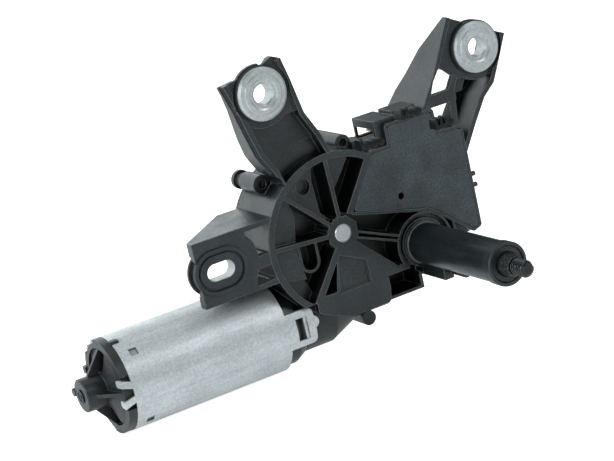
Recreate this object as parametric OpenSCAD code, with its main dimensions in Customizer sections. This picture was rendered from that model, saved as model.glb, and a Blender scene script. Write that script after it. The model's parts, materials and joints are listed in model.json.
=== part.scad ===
// Rear wiper motor: a brushed motor, a worm and wheel, and a toothed rod that swings the output shaft.
// Origin: on the output shaft's axis, at the shoulder between the knurled cone and the thread.
// The shaft points along -Y, the motor runs along -X, +Z is up. All lengths are in millimetres.

/* [Output shaft] */
// Diameter of the output shaft in its bushes
shaft_d = 11; // [9:0.5:12]
// Outer diameter of the thread for the arm nut
thread_d = 7.9; // [5.9:0.1:7.9]
// Length of the threaded tip
thread_len = 9.5; // [8:0.5:14]
// Length of the knurled cone that grips the wiper arm
cone_len = 7; // [5:0.5:9]
// Diameter of the cone at its small end
cone_tip_d = 9.4; // [8.5:0.1:10]
// Radial running clearance of shafts in their bushes
run_gap = 0.05; // [0.02:0.01:0.08]

/* [Output tube] */
// Outer diameter of the moulded tube around the shaft
tube_d = 19.6; // [18:0.2:22]
// Length of the tube, from its end to the front plane of the gear case
tube_len = 70.5; // [50:0.5:90]
// Wall between the tube's outside and the bush seats
tube_wall = 2.3; // [1.8:0.1:2.6]
// Diameter of the collar where the tube meets the gear case
collar_d = 30.6; // [28:0.2:34]
// Depth of the ring groove between the collar and the tube
collar_groove = 3.5; // [2:0.5:6]
// Diameter of the sealing cap on the tube's end
seal_cap_d = 20.6; // [19.8:0.2:24]
// Depth of the sealing cap along the shaft
seal_cap_len = 5.5; // [4:0.5:9]
// Length of each shaft bush
bush_len = 12; // [8:0.5:16]

/* [Gear case] */
// Wheel axis, sideways from the output shaft
wheel_x = -42; // [-44:0.5:-41]
// Wheel axis, above the output shaft
wheel_z = 18.5; // [17:0.5:20]
// Outside diameter of the round gear chamber
drum_d = 78.4; // [77:0.2:80]
// Width of the rim around the ribbed front
rim_w = 3.2; // [2.4:0.2:4]
// Depth of the gear case, from its ribbed front to its back edge
case_depth = 34; // [33.4:0.2:38]
// Depth of the pockets between the ribs
pocket_depth = 13; // [10:0.5:13.4]
// Depth of the raised steps beside the rim
step_depth = 3.5; // [2:0.5:6]
// Thickness of the floor between pockets and gears
floor_t = 2; // [1.6:0.1:2.2]
// Thickness of the radial ribs
rib_t = 2; // [1.4:0.1:3]
// Diameter of the hub in the middle of the ribs
hub_d = 15.6; // [13:0.2:18]
// Diameter of the steel axle seen in the hub
axle_d = 8.8; // [7:0.2:9]
// Wall around the gear chamber
drum_wall = 3; // [2.4:0.1:3.2]
// Diameter of the screw posts outside the gear chamber
post_d = 9.2; // [8:0.2:10]
// Thickness of the back cover
back_cover_t = 2.5; // [2:0.1:4]
// Height of the stiffening ribs on the back cover
back_rib_h = 1.8; // [1:0.1:3]

/* [Worm and wheel] */
// Number of teeth on the worm wheel
wheel_teeth = 64; // [64:1:64]
// Module of the worm and the wheel
wheel_module = 1; // [0.98:0.01:1.01]
// Pitch radius of the worm
worm_pitch_r = 5.5; // [5.4:0.1:5.8]
// Length of the worm's thread
worm_len = 22; // [16:1:26]
// Width of the wheel's teeth along its axis
wheel_face = 5; // [4:0.5:5]
// Thinning of each flank pair for running clearance
worm_thin = 0.35; // [0.3:0.01:0.45]

/* [Toothed rod] */
// Module of the pinion and the toothed rod
rod_module = 1.25; // [1.2:0.01:1.28]
// Number of teeth on the output pinion
pinion_teeth = 14; // [14:1:14]
// Number of teeth that a full circle of the rod's arc would have
rod_teeth = 28; // [28:1:28]
// Length of the rod, from its crank eye to the centre of its toothed arc
rod_len = 42; // [40:0.5:44]
// Radius of the crank circle on the worm wheel
crank_r = 10; // [8:0.5:10]
// Direction of the crank at park, seen from the shaft's end
crank_park = 347; // [340:1:350]
// Thickness of the toothed rod and the pinion
rod_t = 3; // [2.5:0.1:3.2]
// Thickness of the guide link
link_t = 2; // [1.5:0.1:2.2]
// Diameter of the pins in the rod
rod_pin_d = 6; // [4:0.2:7]
// Thinning of each tooth for running clearance
rod_thin = 0.2; // [0.15:0.01:0.3]

/* [Motor] */
// Diameter of the steel can
can_d = 45.4; // [44:0.2:46]
// Length of the steel can
can_len = 81; // [70:1:100]
// Front edge of the can, sideways from the output shaft
can_front_x = -80; // [-84:0.5:-80]
// Wall of the steel can
can_wall = 1.6; // [1.2:0.1:2]
// Distance of the motor's axis behind the front plane
motor_back = 23; // [22.8:0.1:24]
// Diameter of the armature shaft
arm_shaft_d = 8; // [6:0.2:8]
// Air gap between the armature's core and the magnets
air_gap = 1.1; // [0.8:0.1:2]
// Length of the armature's laminated core
core_len = 36; // [28:1:44]
// Thickness of the magnets
magnet_t = 4.6; // [3:0.1:4.6]
// Diameter of the commutator
comm_d = 17; // [15:0.5:18]
// Width of the rear cap's rim
cap_rim_w = 4.2; // [3.6:0.1:8]
// Diameter of the bearing nose on the rear cap
nose_d = 16; // [14:0.5:18]
// Length of the bearing nose beyond the rim
nose_len = 12.8; // [10:0.2:15]

/* [Mounting arms] */
// Upper left bush, sideways from the output shaft
ul_x = -67; // [-69:0.5:-66]
// Upper left bush, above the output shaft
ul_z = 93.5; // [90:0.5:100]
// Upper right bush, sideways from the output shaft
ur_x = 48.5; // [47:0.5:50]
// Upper right bush, above the output shaft
ur_z = 83.5; // [82:0.5:90]
// Lower left bush, sideways from the output shaft
ll_x = -106.5; // [-110:0.5:-105]
// Lower left bush, above the output shaft
ll_z = 21.5; // [21:0.5:23]
// Diameter of the bolt holes in the round sleeves
bolt_hole_d = 9.2; // [8:0.2:10]
// Wall of the metal sleeves
sleeve_wall = 1.6; // [1.2:0.1:2]
// Length of the metal sleeves
sleeve_len = 8; // [7.5:0.5:12]
// Diameter of the round sleeves' front flange
sleeve_flange_d = 24.8; // [22:0.2:25]
// Thickness of the round sleeves' front flange
sleeve_flange_t = 2.2; // [1.8:0.1:3]
// How far the lower left slot reaches each way from its centre beyond a round hole
slot_half = 3; // [1:0.5:4]
// Width of the lower left slot across its length
slot_w = 8; // [7:0.2:9]
// Thickness of the web that carries each rubber grommet
web_t = 2; // [1.6:0.1:3]
// Thickness of the grommets' flanges
grommet_lip = 1.5; // [1.2:0.1:2]
// Diameter of the round grommets' flanges
grommet_d = 26; // [25.4:0.2:27]
// Thickness of the arms' side walls
arm_wall = 2.4; // [1.8:0.1:3]
// Depth of the arms' side walls from the front plane
arm_depth = 15; // [12:0.5:18]

/* [Electronics box] */
// Right side of the electronics box
box_right = 31; // [30:0.5:33]
// Top of the electronics box
box_top = 60; // [59:0.5:61]
// Thickness of the electronics cover
lid_t = 2.5; // [2:0.1:3]
// Gap around the electronics cover
lid_gap = 0.3; // [0.2:0.1:0.6]
// Wall of the electronics box
box_wall = 1.4; // [1.2:0.1:2]
// Thickness of the circuit board
board_t = 1.6; // [1:0.1:2]

/* [Hidden] */
$fn = 96;

// Planes along Y, counted from the arm seat: the tube's end, the ribbed front, the floors and the back
cut = 0.1;
tube_end_y = cone_len - 0.5;
front_y = tube_end_y + tube_len;
floor_y = front_y + pocket_depth;
chamber_y = floor_y + floor_t;
back_y = front_y + case_depth;
motor_y = front_y + motor_back;
wheel_y0 = motor_y - wheel_face/2;
wheel_y1 = motor_y + wheel_face/2;
disc_y = wheel_y1 + 1.4;
rod_y0 = disc_y + 0.4;
rod_y1 = rod_y0 + rod_t;
link_y0 = rod_y1 + 0.3;
link_y1 = link_y0 + link_t;
ring_t = 0.8;

// Worm gear: the motor's axis lies one centre distance under the wheel's
wheel_r = wheel_module*wheel_teeth/2;
worm_lead = PI*wheel_module;
motor_z = wheel_z - wheel_r - worm_pitch_r;
drum_r = drum_d/2;
chamber_r = drum_r - drum_wall;
worm_tip_r = worm_pitch_r + wheel_module;
worm_root_r = worm_pitch_r - 1.25*wheel_module;

// Toothed rod drive at park, in the XZ plane: the crank eye, then the centre of the toothed arc
pinion_r = rod_module*pinion_teeth/2;
arc_r = rod_module*rod_teeth/2;
link_len = pinion_r + arc_r;
addendum = 0.9*rod_module;
dedendum = 1.2*rod_module;
eye_x = wheel_x + crank_r*cos(crank_park);
eye_z = wheel_z + crank_r*sin(crank_park);
eye_dist = norm([eye_x, eye_z]);
link_angle = atan2(eye_z, eye_x)
    - acos((eye_dist*eye_dist + link_len*link_len - rod_len*rod_len)/(2*eye_dist*link_len));
arc_x = link_len*cos(link_angle);
arc_z = link_len*sin(link_angle);
rod_pitch_angle = 360/rod_teeth;
arc_room_r = arc_r + addendum + 0.9;

// Output tube and its bushes
tube_bore_d = tube_d - 2*tube_wall;
spigot_d = tube_d - 1;
seal_len = 2.5;
front_seat_y1 = tube_end_y + 2.5 + seal_len + bush_len;
rear_seat_y0 = rod_y0 - 1.2 - bush_len;

// Motor
bearing_d = 16;
bearing_out_d = 12;
tip_bush_d = 12;
can_r = can_d/2;
can_in_r = can_r - can_wall;
core_d = 2*(can_in_r - magnet_t - air_gap);
can_rear_x = can_front_x - can_len;
rim_x = can_rear_x - cap_rim_w;
nose_x = rim_x - nose_len;
spigot_x = can_front_x - 5;
flange_x = can_front_x + 13;
bearing_x0 = flange_x - 1;
bearing_x1 = bearing_x0 + 6;
tunnel_r = worm_tip_r + 1.5;
tunnel_wall = 2.8;
worm_x = wheel_x - worm_len/2;
tip_x0 = wheel_x + worm_len/2 + 3;
tip_x1 = tip_x0 + 6;
tunnel_x1 = tip_x1 + 5;
core_x1 = can_front_x - 22;
core_x0 = core_x1 - core_len;
comm_x0 = can_front_x - 14;
comm_x1 = can_front_x - 2;
journal_d = arm_shaft_d - 2;
magnet_x0 = core_x0 - 8;
magnet_x1 = core_x1 + 8;

// Rubber mounts: planes from the sleeve's front to its back
sleeve_y0 = front_y - 2;
lip_y = sleeve_y0 + sleeve_flange_t;
web_y0 = lip_y + grommet_lip;
web_y1 = web_y0 + web_t;
sleeve_r = bolt_hole_d/2 + sleeve_wall;
neck_r = sleeve_r + 3;
grommet_r = grommet_d/2;
seat_r = grommet_r + 1.6;
slot_sleeve_r = slot_w/2 + sleeve_wall;
slot_neck_r = slot_sleeve_r + 2.4;
slot_lip_r = slot_neck_r + 2.5;
arm_back_y = front_y + arm_depth;
floor_web_y = web_y1 + 1.5;

// Screw posts for the back cover, as [x, z, diameter, front plane]
posts = [
    [wheel_x - 29, wheel_z + 31.5, post_d, floor_y],
    [wheel_x + 15.5, wheel_z + 38.5, 8, floor_y - 2],
    [wheel_x + 13, motor_z - 13, 7.4, floor_y + 5],
    [box_right - 5.5, box_top - 17, 7, chamber_y],
    [box_right - 5.5, 5, 7, chamber_y]
];
screw_hole_d = 3;
// The outermost post is short, and the back cover has a boss that meets it
boss_len = 6;

// Electronics cover outline, clockwise from its lower left corner at the hub
lid_pts = [
    [wheel_x + 8, wheel_z + 8], [wheel_x + 24, box_top - 10], [wheel_x + 34.5, box_top - 10],
    [wheel_x + 34.5, box_top], [box_right - 14, box_top], [box_right - 13.5, box_top - 11.5],
    [box_right, box_top - 12], [box_right, -0.5], [box_right - 3, -1.5], [12, 12], [6, 16.3], [0, 17.4]
];

// The edges of the arms, from their bushes and from the wheel's axis
ul_left = [
    [wheel_x - 25.5, wheel_z + 31], [wheel_x - 27.4, wheel_z + 37.5], [wheel_x - 32.7, wheel_z + 47.2],
    [wheel_x - 36, ul_z - 16], [ul_x - 14, ul_z - 4], [ul_x - 18, ul_z + 8.2]
];
ul_right = [
    [ul_x + 13, ul_z + 13.4], [ul_x + 15.5, ul_z + 3], [ul_x + 18.8, ul_z - 14],
    [wheel_x - 0.6, wheel_z + 49.6], [wheel_x + 3.5, wheel_z + 38]
];
ur_left = [
    [wheel_x + 50, box_top - 6], [ur_x - 35.1, ur_z - 20.7], [ur_x - 26.5, ur_z - 7.9], [ur_x - 12.7, ur_z + 18]
];
ur_right = [
    [ur_x + 17.5, ur_z + 2], [ur_x + 11.4, ur_z - 10], [ur_x + 6.4, ur_z - 19.4], [ur_x - 0.5, ur_z - 25],
    [box_right + 9, box_top - 13], [box_right, box_top - 27]
];

function polar(r, a) = [r*cos(a), r*sin(a)];
function heading(a, b) = atan2(b[1] - a[1], b[0] - a[0]);
function turn(a, b) = (a - b + 540) % 360 - 180;
// A clockwise outline moved outwards by d: corners that stand out are rounded, the others stay sharp
function moved(pts, d) = [
    for (i = [0:len(pts) - 1])
        let (p = pts[i], n = len(pts), a = heading(pts[(i + n - 1) % n], p), t = turn(a, heading(p, pts[(i + 1) % n])))
        each d > 0.5 && t > 20
            ? [for (k = [0:4]) p + polar(d, a + 90 - t*k/4)]
            : [p + polar(d/cos(t/2), a + 90 - t/2)]
];
// One side of a bent line, at distance d from it
function beside(pts, d) = [
    for (i = [0:len(pts) - 1])
        let (a = heading(pts[max(i, 1) - 1], pts[max(i, 1)]),
            b = heading(pts[min(i, len(pts) - 2)], pts[min(i, len(pts) - 2) + 1]), t = turn(a, b))
        pts[i] + polar(d/cos(t/2), a + 90 - t/2)
];
function involute(a) = tan(a)*180/PI - a;
function half_tooth(m, z, r, thin) =
    let (rp = m*z/2, rb = rp*cos(20), a = r > rb ? acos(rb/r) : 0)
    90/z + involute(20) - involute(a) - thin/2/rp*180/PI;
// One tooth's outline, from the root on one flank over the tip to the root on the other
function tooth(m, z, at, thin, add, ded) =
    let (rp = m*z/2, rs = [rp - ded, rp - 0.55*ded, rp - 0.1*ded, rp + 0.4*add, rp + 0.75*add, rp + add])
    concat(
        [for (r = rs) polar(r, at - half_tooth(m, z, r, thin))],
        [for (i = [len(rs) - 1:-1:0]) polar(rs[i], at + half_tooth(m, z, rs[i], thin))]
    );
// A flat shape in the XZ plane, filled between two planes along Y
module slab(y0, y1) {
    translate([0, y1, 0]) rotate([90, 0, 0]) linear_extrude(y1 - y0) children();
}
module at(x, z) {
    translate([x, z]) children();
}
// A round bar along Y
module ybar(x, z, y0, y1, d) {
    slab(y0, y1) at(x, z) circle(d = d);
}
// A round bar along the motor's axis
module xbar(x0, x1, d) {
    translate([x0, motor_y, motor_z]) rotate([0, 90, 0]) cylinder(h = x1 - x0, d = d);
}
module xcone(x0, x1, d0, d1) {
    translate([x0, motor_y, motor_z]) rotate([0, 90, 0]) cylinder(h = x1 - x0, d1 = d0, d2 = d1);
}
// A shape drawn around the motor's axis and filled between two planes along X
module xslab(x0, x1) {
    translate([x0, motor_y, motor_z]) rotate([0, 90, 0]) linear_extrude(x1 - x0) children();
}
// A straight bar between two points
module stripe(a, b, w) {
    d = b - a;
    at(a[0], a[1]) rotate(atan2(d[1], d[0])) translate([0, -w/2]) square([norm(d), w]);
}
// A bent bar along a line of points
module chain(pts, w) {
    back = beside(pts, -w/2);
    polygon(concat(beside(pts, w/2), [for (i = [len(pts) - 1:-1:0]) back[i]]));
}
module obround(r, half) {
    square([2*half, 2*r], center = true);
    for (s = [-1, 1]) at(s*half, 0) circle(r);
}

// Gear case

module drum_2d(r) {
    at(wheel_x, wheel_z) circle(r);
}
module lid_2d() {
    polygon(moved(moved(lid_pts, -1.2), 1.2));
}
// The electronics box is the cover's outline with a gap and a wall around it
module box_2d() {
    polygon(moved(lid_pts, lid_gap + box_wall));
}
// Above this height the box is shallow, with the socket behind it
module box_top_2d() {
    at(wheel_x, box_top - 8.3) square([80, 20]);
}
module box_low_2d() {
    difference() {
        box_2d();
        box_top_2d();
    }
}
module lid_seat_2d() {
    polygon(moved(lid_pts, lid_gap));
}
plate_low = motor_z - 2.8;
module lower_plate_2d() {
    polygon([
        [wheel_x, wheel_z], [wheel_x - 24, motor_z + 8], [wheel_x - 21, motor_z + 5],
        [wheel_x - 5, plate_low], [wheel_x + 16.5, plate_low], [wheel_x + 18, plate_low + 1.5],
        [wheel_x + 18.7, motor_z + 8], [-13, -10], [0, 0]
    ]);
}
module collar_2d() {
    circle(d = collar_d);
}
module front_2d() {
    drum_2d(drum_r);
    box_2d();
    lower_plate_2d();
    collar_2d();
}
// The ribs run from the hub; each is [angle, length from the hub's centre]
ribs = [[135.2, chamber_r], [91.7, chamber_r], [-126.6, chamber_r], [175.8, chamber_r]];
module ribs_2d() {
    for (r = ribs)
        at(wheel_x, wheel_z) rotate(r[0]) translate([0, -rib_t/2]) square([r[1] + 1, rib_t]);
    stripe([wheel_x + 5, wheel_z + 8], [wheel_x + 22, wheel_z + 33], rib_t);
    stripe([wheel_x, wheel_z - 7.5], [-14.5, -9.5], rib_t);
    for (s = [-1, 1])
        stripe([wheel_x, wheel_z + 1.6*s], [-10, 5 + 1.2*s], 1);
}
module hub_2d() {
    at(wheel_x, wheel_z) rotate(22.5) circle(d = hub_d/cos(22.5), $fn = 8);
}
// Raised steps beside the rim, in the pockets on the left and above
module steps_2d() {
    intersection() {
        drum_2d(chamber_r + 0.5);
        at(wheel_x, wheel_z) {
            polygon([
                [-40, -14], [-40, 34], [-26, 34], [-26, 30], [-22.8, 21.5], [-20.8, 15.7], [-23.4, 3],
                [-23.7, -3.5], [-22.9, -9.6], [-21.8, -16.3]
            ]);
            polygon([[-32, 32], [-5, 5], [-3.3, 7], [-7.8, 12.1], [-8.6, 27.4], [-7.3, 34.7], [-7, 40], [-30, 40]]);
            polygon([[-1, 21], [1.9, 21], [4.3, 23.3], [11.8, 32.9], [12, 40], [-2, 40]]);
        }
    }
}
// The lower step in the lower left pocket
module low_step_2d() {
    intersection() {
        drum_2d(chamber_r + 0.5);
        at(wheel_x, wheel_z) polygon([[-34, -14], [-21.8, -16.3], [-17.8, -28.2], [-14, -38], [-36, -38]]);
    }
}
// A U-shaped wall that stands in the lower left pocket
module u_wall_2d() {
    difference() {
        union() {
            at(wheel_x - 18, wheel_z - 9) circle(5.2);
            at(wheel_x - 23.2, wheel_z - 9) square([10.4, 10.5]);
        }
        at(wheel_x - 18, wheel_z - 9) circle(3.9);
        at(wheel_x - 21.9, wheel_z - 9) square([7.8, 12]);
    }
}
module pockets_2d() {
    difference() {
        union() {
            drum_2d(drum_r - rim_w);
            polygon([
                [wheel_x + 4, wheel_z + 6], [0, 17.4 - lid_gap - box_wall], [0, 12], [-12, -8],
                [wheel_x + 2, wheel_z - 8]
            ]);
        }
        hub_2d();
        ribs_2d();
        box_2d();
        circle(d = collar_d);
        // The sector below the hub is closed by the lower plate
        polygon([
            [wheel_x, wheel_z], [wheel_x, wheel_z] + polar(drum_r + 1, ribs[2][0]), [wheel_x - 18, motor_z - 5],
            [wheel_x + 20, motor_z - 5], [-12, -11]
        ]);
    }
}
panel_pts = [
    [wheel_x - 4.8, wheel_z - 9.5], [wheel_x + 9, wheel_z - 16], [wheel_x + 9, wheel_z - 27.5],
    [wheel_x - 8.2, wheel_z - 27.5]
];
slot_pts = [
    [wheel_x - 6.2, wheel_z - 12], [wheel_x - 9.6, wheel_z - 26.5], [wheel_x - 16.2, wheel_z - 26]
];
bell_d = 2*can_in_r - 0.4;
throat_d = 35.4;
module motor_seat(gap = 0) {
    xbar(spigot_x, can_front_x, 2*can_in_r - 0.2 + gap);
    xbar(can_front_x, can_front_x + 6, bell_d + gap);
    xcone(can_front_x + 6, can_front_x + 12, bell_d + gap, bell_d - 6 + gap);
    xbar(can_front_x + 12, flange_x + 15, throat_d + gap);
    xcone(flange_x + 15, flange_x + 32, throat_d + gap, 2*(tunnel_r + tunnel_wall) + gap);
    xbar(flange_x + 30, tunnel_x1, 2*(tunnel_r + tunnel_wall) + gap);
}
pocket_box = [wheel_x + 18.6, motor_z - 0.8, 17, 12];
module case_body() {
    slab(front_y, back_y) drum_2d(drum_r);
    slab(front_y, back_y) box_low_2d();
    slab(front_y, front_y + 7) box_2d();
    slab(front_y, front_y + 15) intersection() {
        box_2d();
        at(-1, 0) square([60, 80]);
    }
    slab(front_y, motor_y) lower_plate_2d();
    motor_seat();
    slab(front_y, back_y) collar_2d();
    // Room for the rod's toothed arc
    slab(rod_y0 - 3.5, back_y) at(arc_x, arc_z) circle(arc_room_r + 2);
    // Block between the second screw post and the electronics box
    translate([wheel_x + 19, front_y + 9, wheel_z + 27]) cube([6, 10, 11]);
    translate([0, front_y, 0]) rotate([90, 0, 0]) tube_outside();
    // Seat of the rear bush
    ybar(0, 0, chamber_y - cut, rod_y0 - 1.2, tube_d + 1);
    for (p = posts)
        ybar(p[0], p[1], p[3], back_y - (p[2] == post_d ? boss_len : 0), p[2]);
    // Web between the lowest post and the worm tunnel
    translate([posts[2][0] - 1.5, motor_y - 4, posts[2][1]]) cube([3, back_y - motor_y + 4, 12]);
    // Open box under the collar
    slab(front_y + 1, front_y + 19)
        at(pocket_box[0] - 2, pocket_box[1] - 1.5) square([pocket_box[2] + 3.5, pocket_box[3]]);
    // Keel and thin rib under the tube
    slab(front_y - 20, front_y + 2) at(-4.6, -14.6) square([5, 11]);
    slab(front_y - 33, front_y - 18) at(-1, -12.4) square([2, 8]);
    // Wall under the box's lower edge, with a small gusset in front of it
    slab(front_y + 6, back_y) polygon([
        [10, 6], [box_right + lid_gap + box_wall, 0], [box_right + 0.4, -4.2], [21, -4.6], [10, -4]
    ]);
    slab(front_y + 1, front_y + 7) at(17.2, -3) square([1.4, 9]);
    // Two small locating pegs on the right side of the box
    for (z = [23.5, 18])
        translate([box_right, front_y + 3.2, z]) rotate([0, 90, 0]) cylinder(h = 5, d = 2.4);
}
// The tube's outside has a small step at its base, and the groove runs around it
module tube_outside() {
    r = tube_d/2;
    rotate_extrude() polygon([
        [0, -pocket_depth], [r + 4, -pocket_depth], [r + 4, -0.2], [r + 1, 0.4], [r, 0.4],
        [r, tube_len - seal_cap_len], [spigot_d/2, tube_len - seal_cap_len], [spigot_d/2, tube_len - 2],
        [0, tube_len - 2]
    ]);
}
module tube_groove() {
    r = tube_d/2;
    land_r = collar_d/2 - 1.2;
    translate([0, front_y, 0]) rotate([90, 0, 0]) rotate_extrude() polygon([
        [r + 0.5, 0.6], [r + 0.5, -1.2], [r + 2.2, -1.2], [r + 2.2, -collar_groove], [land_r, -collar_groove],
        [land_r, 0.6]
    ]);
}
module case_cuts() {
    // Pockets in the ribbed front, with the raised steps left standing
    slab(front_y - cut, floor_y) difference() {
        pockets_2d();
        steps_2d();
        low_step_2d();
        u_wall_2d();
    }
    slab(front_y - cut, front_y + 2*step_depth) intersection() {
        pockets_2d();
        low_step_2d();
    }
    slab(front_y - cut, front_y + step_depth) intersection() {
        pockets_2d();
        union() {
            steps_2d();
            u_wall_2d();
        }
    }
    slab(front_y - cut, front_y + 1.4) polygon(panel_pts);
    slab(front_y - cut, floor_y) polygon(slot_pts);
    // Round recess in the upper left step
    ybar(wheel_x - 13.6, wheel_z + 26.4, front_y, front_y + step_depth + 3, 7.4);
    // Room for the electronics and the seat of its cover
    slab(front_y - cut, front_y + lid_t) lid_seat_2d();
    slab(front_y, floor_y) difference() {
        inner_box_2d();
        box_top_2d();
        circle(d = collar_d);
    }
    slab(front_y, front_y + 5.6) inner_box_2d();
    // Gear chamber and the room for the toothed rod
    slab(chamber_y, back_y + cut) difference() {
        union() {
            drum_2d(chamber_r);
            difference() {
                inner_box_2d();
                box_top_2d();
            }
        }
        circle(d = tube_d + 1);
        for (p = [posts[3], posts[4]])
            at(p[0], p[1]) circle(d = p[2]);
    }
    slab(rod_y0 - 1.2, back_y + cut) {
        circle(d = collar_d - 5.6);
        at(arc_x, arc_z) circle(arc_room_r);
        polygon([[-14, 6], [-14, 24], [2, 24], [2, 8]]);
    }
    // Room for the motor's front tab, beside its seat
    difference() {
        translate([can_front_x, front_y - 1, motor_z - tab_half - 0.6])
            cube([tab_len + 3, 5, 2*tab_half + 1.2]);
        xbar(can_front_x - 1, can_front_x + tab_len + 4, 2*can_in_r - 0.2);
    }
    tube_groove();
    // Bore for the axle
    ybar(wheel_x, wheel_z, front_y - cut, chamber_y + cut, axle_d);
    // Bush seats and the passage of the shaft between them
    ybar(0, 0, tube_end_y - cut, front_seat_y1, tube_bore_d);
    ybar(0, 0, front_seat_y1 - cut, rear_seat_y0 + cut, shaft_d + 1.6);
    ybar(0, 0, rear_seat_y0, back_y, tube_bore_d);
    // Motor side: brush room, bearing seat, worm tunnel and the tip bush's seat
    xbar(spigot_x - cut, bearing_x0, 2*can_in_r - 5);
    xbar(bearing_x0 - cut, bearing_x1, bearing_d);
    xbar(bearing_x1 - cut, tip_x0, 2*tunnel_r);
    xbar(tip_x0 - cut, tunnel_x1 - 3, tip_bush_d);
    // Screw holes
    for (p = posts)
        ybar(p[0], p[1], back_y - 14, back_y + cut, screw_hole_d);
    // Dimples in the front ends of the two outer posts
    for (p = [posts[0], posts[1]])
        ybar(p[0], p[1], p[3] - cut, p[3] + 3, 4);
    // The open box under the collar
    slab(front_y, front_y + 17)
        at(pocket_box[0], pocket_box[1]) square([pocket_box[2], pocket_box[3] - 1.5]);
}
// The cover's outline drawn in by the wall, which the box's room keeps
module inner_box_2d() {
    polygon(moved(lid_pts, lid_gap - box_wall));
}
module gear_case() {
    color([0.16, 0.17, 0.18]) difference() {
        case_body();
        case_cuts();
    }
}

// Mounting arms

module ul_outline_2d() {
    difference() {
        polygon(concat([[wheel_x, wheel_z]], ul_left, [[ul_x - 9.8, ul_z + 9.4]],
            [for (a = [132:-10:82]) [ul_x, ul_z] + polar(grommet_r + 0.8, a)],
            [[ul_x + 2.8, ul_z + 12], [ul_x + 9.4, ul_z + 15]], ul_right));
        drum_2d(drum_r);
    }
}
// Where an upper arm's web stands high: around and above its bush
module bush_web_2d(x, z) {
    at(x, z) {
        circle(seat_r + 1.4);
        translate([-25, -12.6]) square([50, 40]);
    }
}
// Side view of an arm's wall: its back edge runs down and away from the bush
module side_view(pts) {
    translate([-200, 0, 0]) rotate([90, 0, 90]) linear_extrude(400) polygon(pts);
}
module ul_side() {
    side_view([
        [front_y - 2, ul_z + 20], [front_y + 4.5, ul_z + 20], [front_y + 5, ul_z + 4], [front_y + 9, ul_z - 8],
        [arm_back_y - 2, ul_z - 20], [arm_back_y, ul_z - 32], [arm_back_y, ul_z - 60], [front_y - 2, ul_z - 60]
    ]);
}
module upper_left_arm() {
    color([0.16, 0.17, 0.18]) difference() {
        union() {
            intersection() {
                slab(front_y, arm_back_y) intersection() {
                    ul_outline_2d();
                    chain(ul_left, 2*arm_wall);
                }
                ul_side();
            }
            slab(front_y, arm_back_y - 2) intersection() {
                ul_outline_2d();
                chain(ul_right, 2*arm_wall);
            }
            // The web is lowest beside the gear chamber and highest around the bush
            intersection() {
                union() {
                    slab(floor_web_y + 1, floor_web_y + web_t + 1) ul_outline_2d();
                    slab(floor_web_y, floor_web_y + web_t) difference() {
                        ul_outline_2d();
                        drum_2d(drum_r + 8.5);
                    }
                    slab(web_y0, floor_web_y + web_t) intersection() {
                        ul_outline_2d();
                        bush_web_2d(ul_x, ul_z);
                    }
                }
                ul_side();
            }
            // Step along the back of the left wall
            intersection() {
                slab(front_y + 3, arm_back_y) difference() {
                    chain([for (i = [1:5]) ul_left[i] - [0.4, 0]], 1.6);
                    drum_2d(drum_r);
                }
                ul_side();
            }
        }
        slab(web_y1, floor_web_y + web_t + cut) at(ul_x, ul_z) circle(seat_r);
        ybar(ul_x, ul_z, front_y - 1, web_y0, 2*seat_r);
        ybar(ul_x, ul_z, front_y, arm_back_y, 2*neck_r);
        ybar(posts[0][0], posts[0][1], front_y, back_y, post_d + 0.4);
        ybar(posts[1][0], posts[1][1], front_y, back_y, posts[1][2] + 0.4);
    }
}
module ur_outline_2d() {
    difference() {
        polygon(concat(ur_left, ur_right));
        box_2d();
        drum_2d(drum_r);
    }
}
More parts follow.
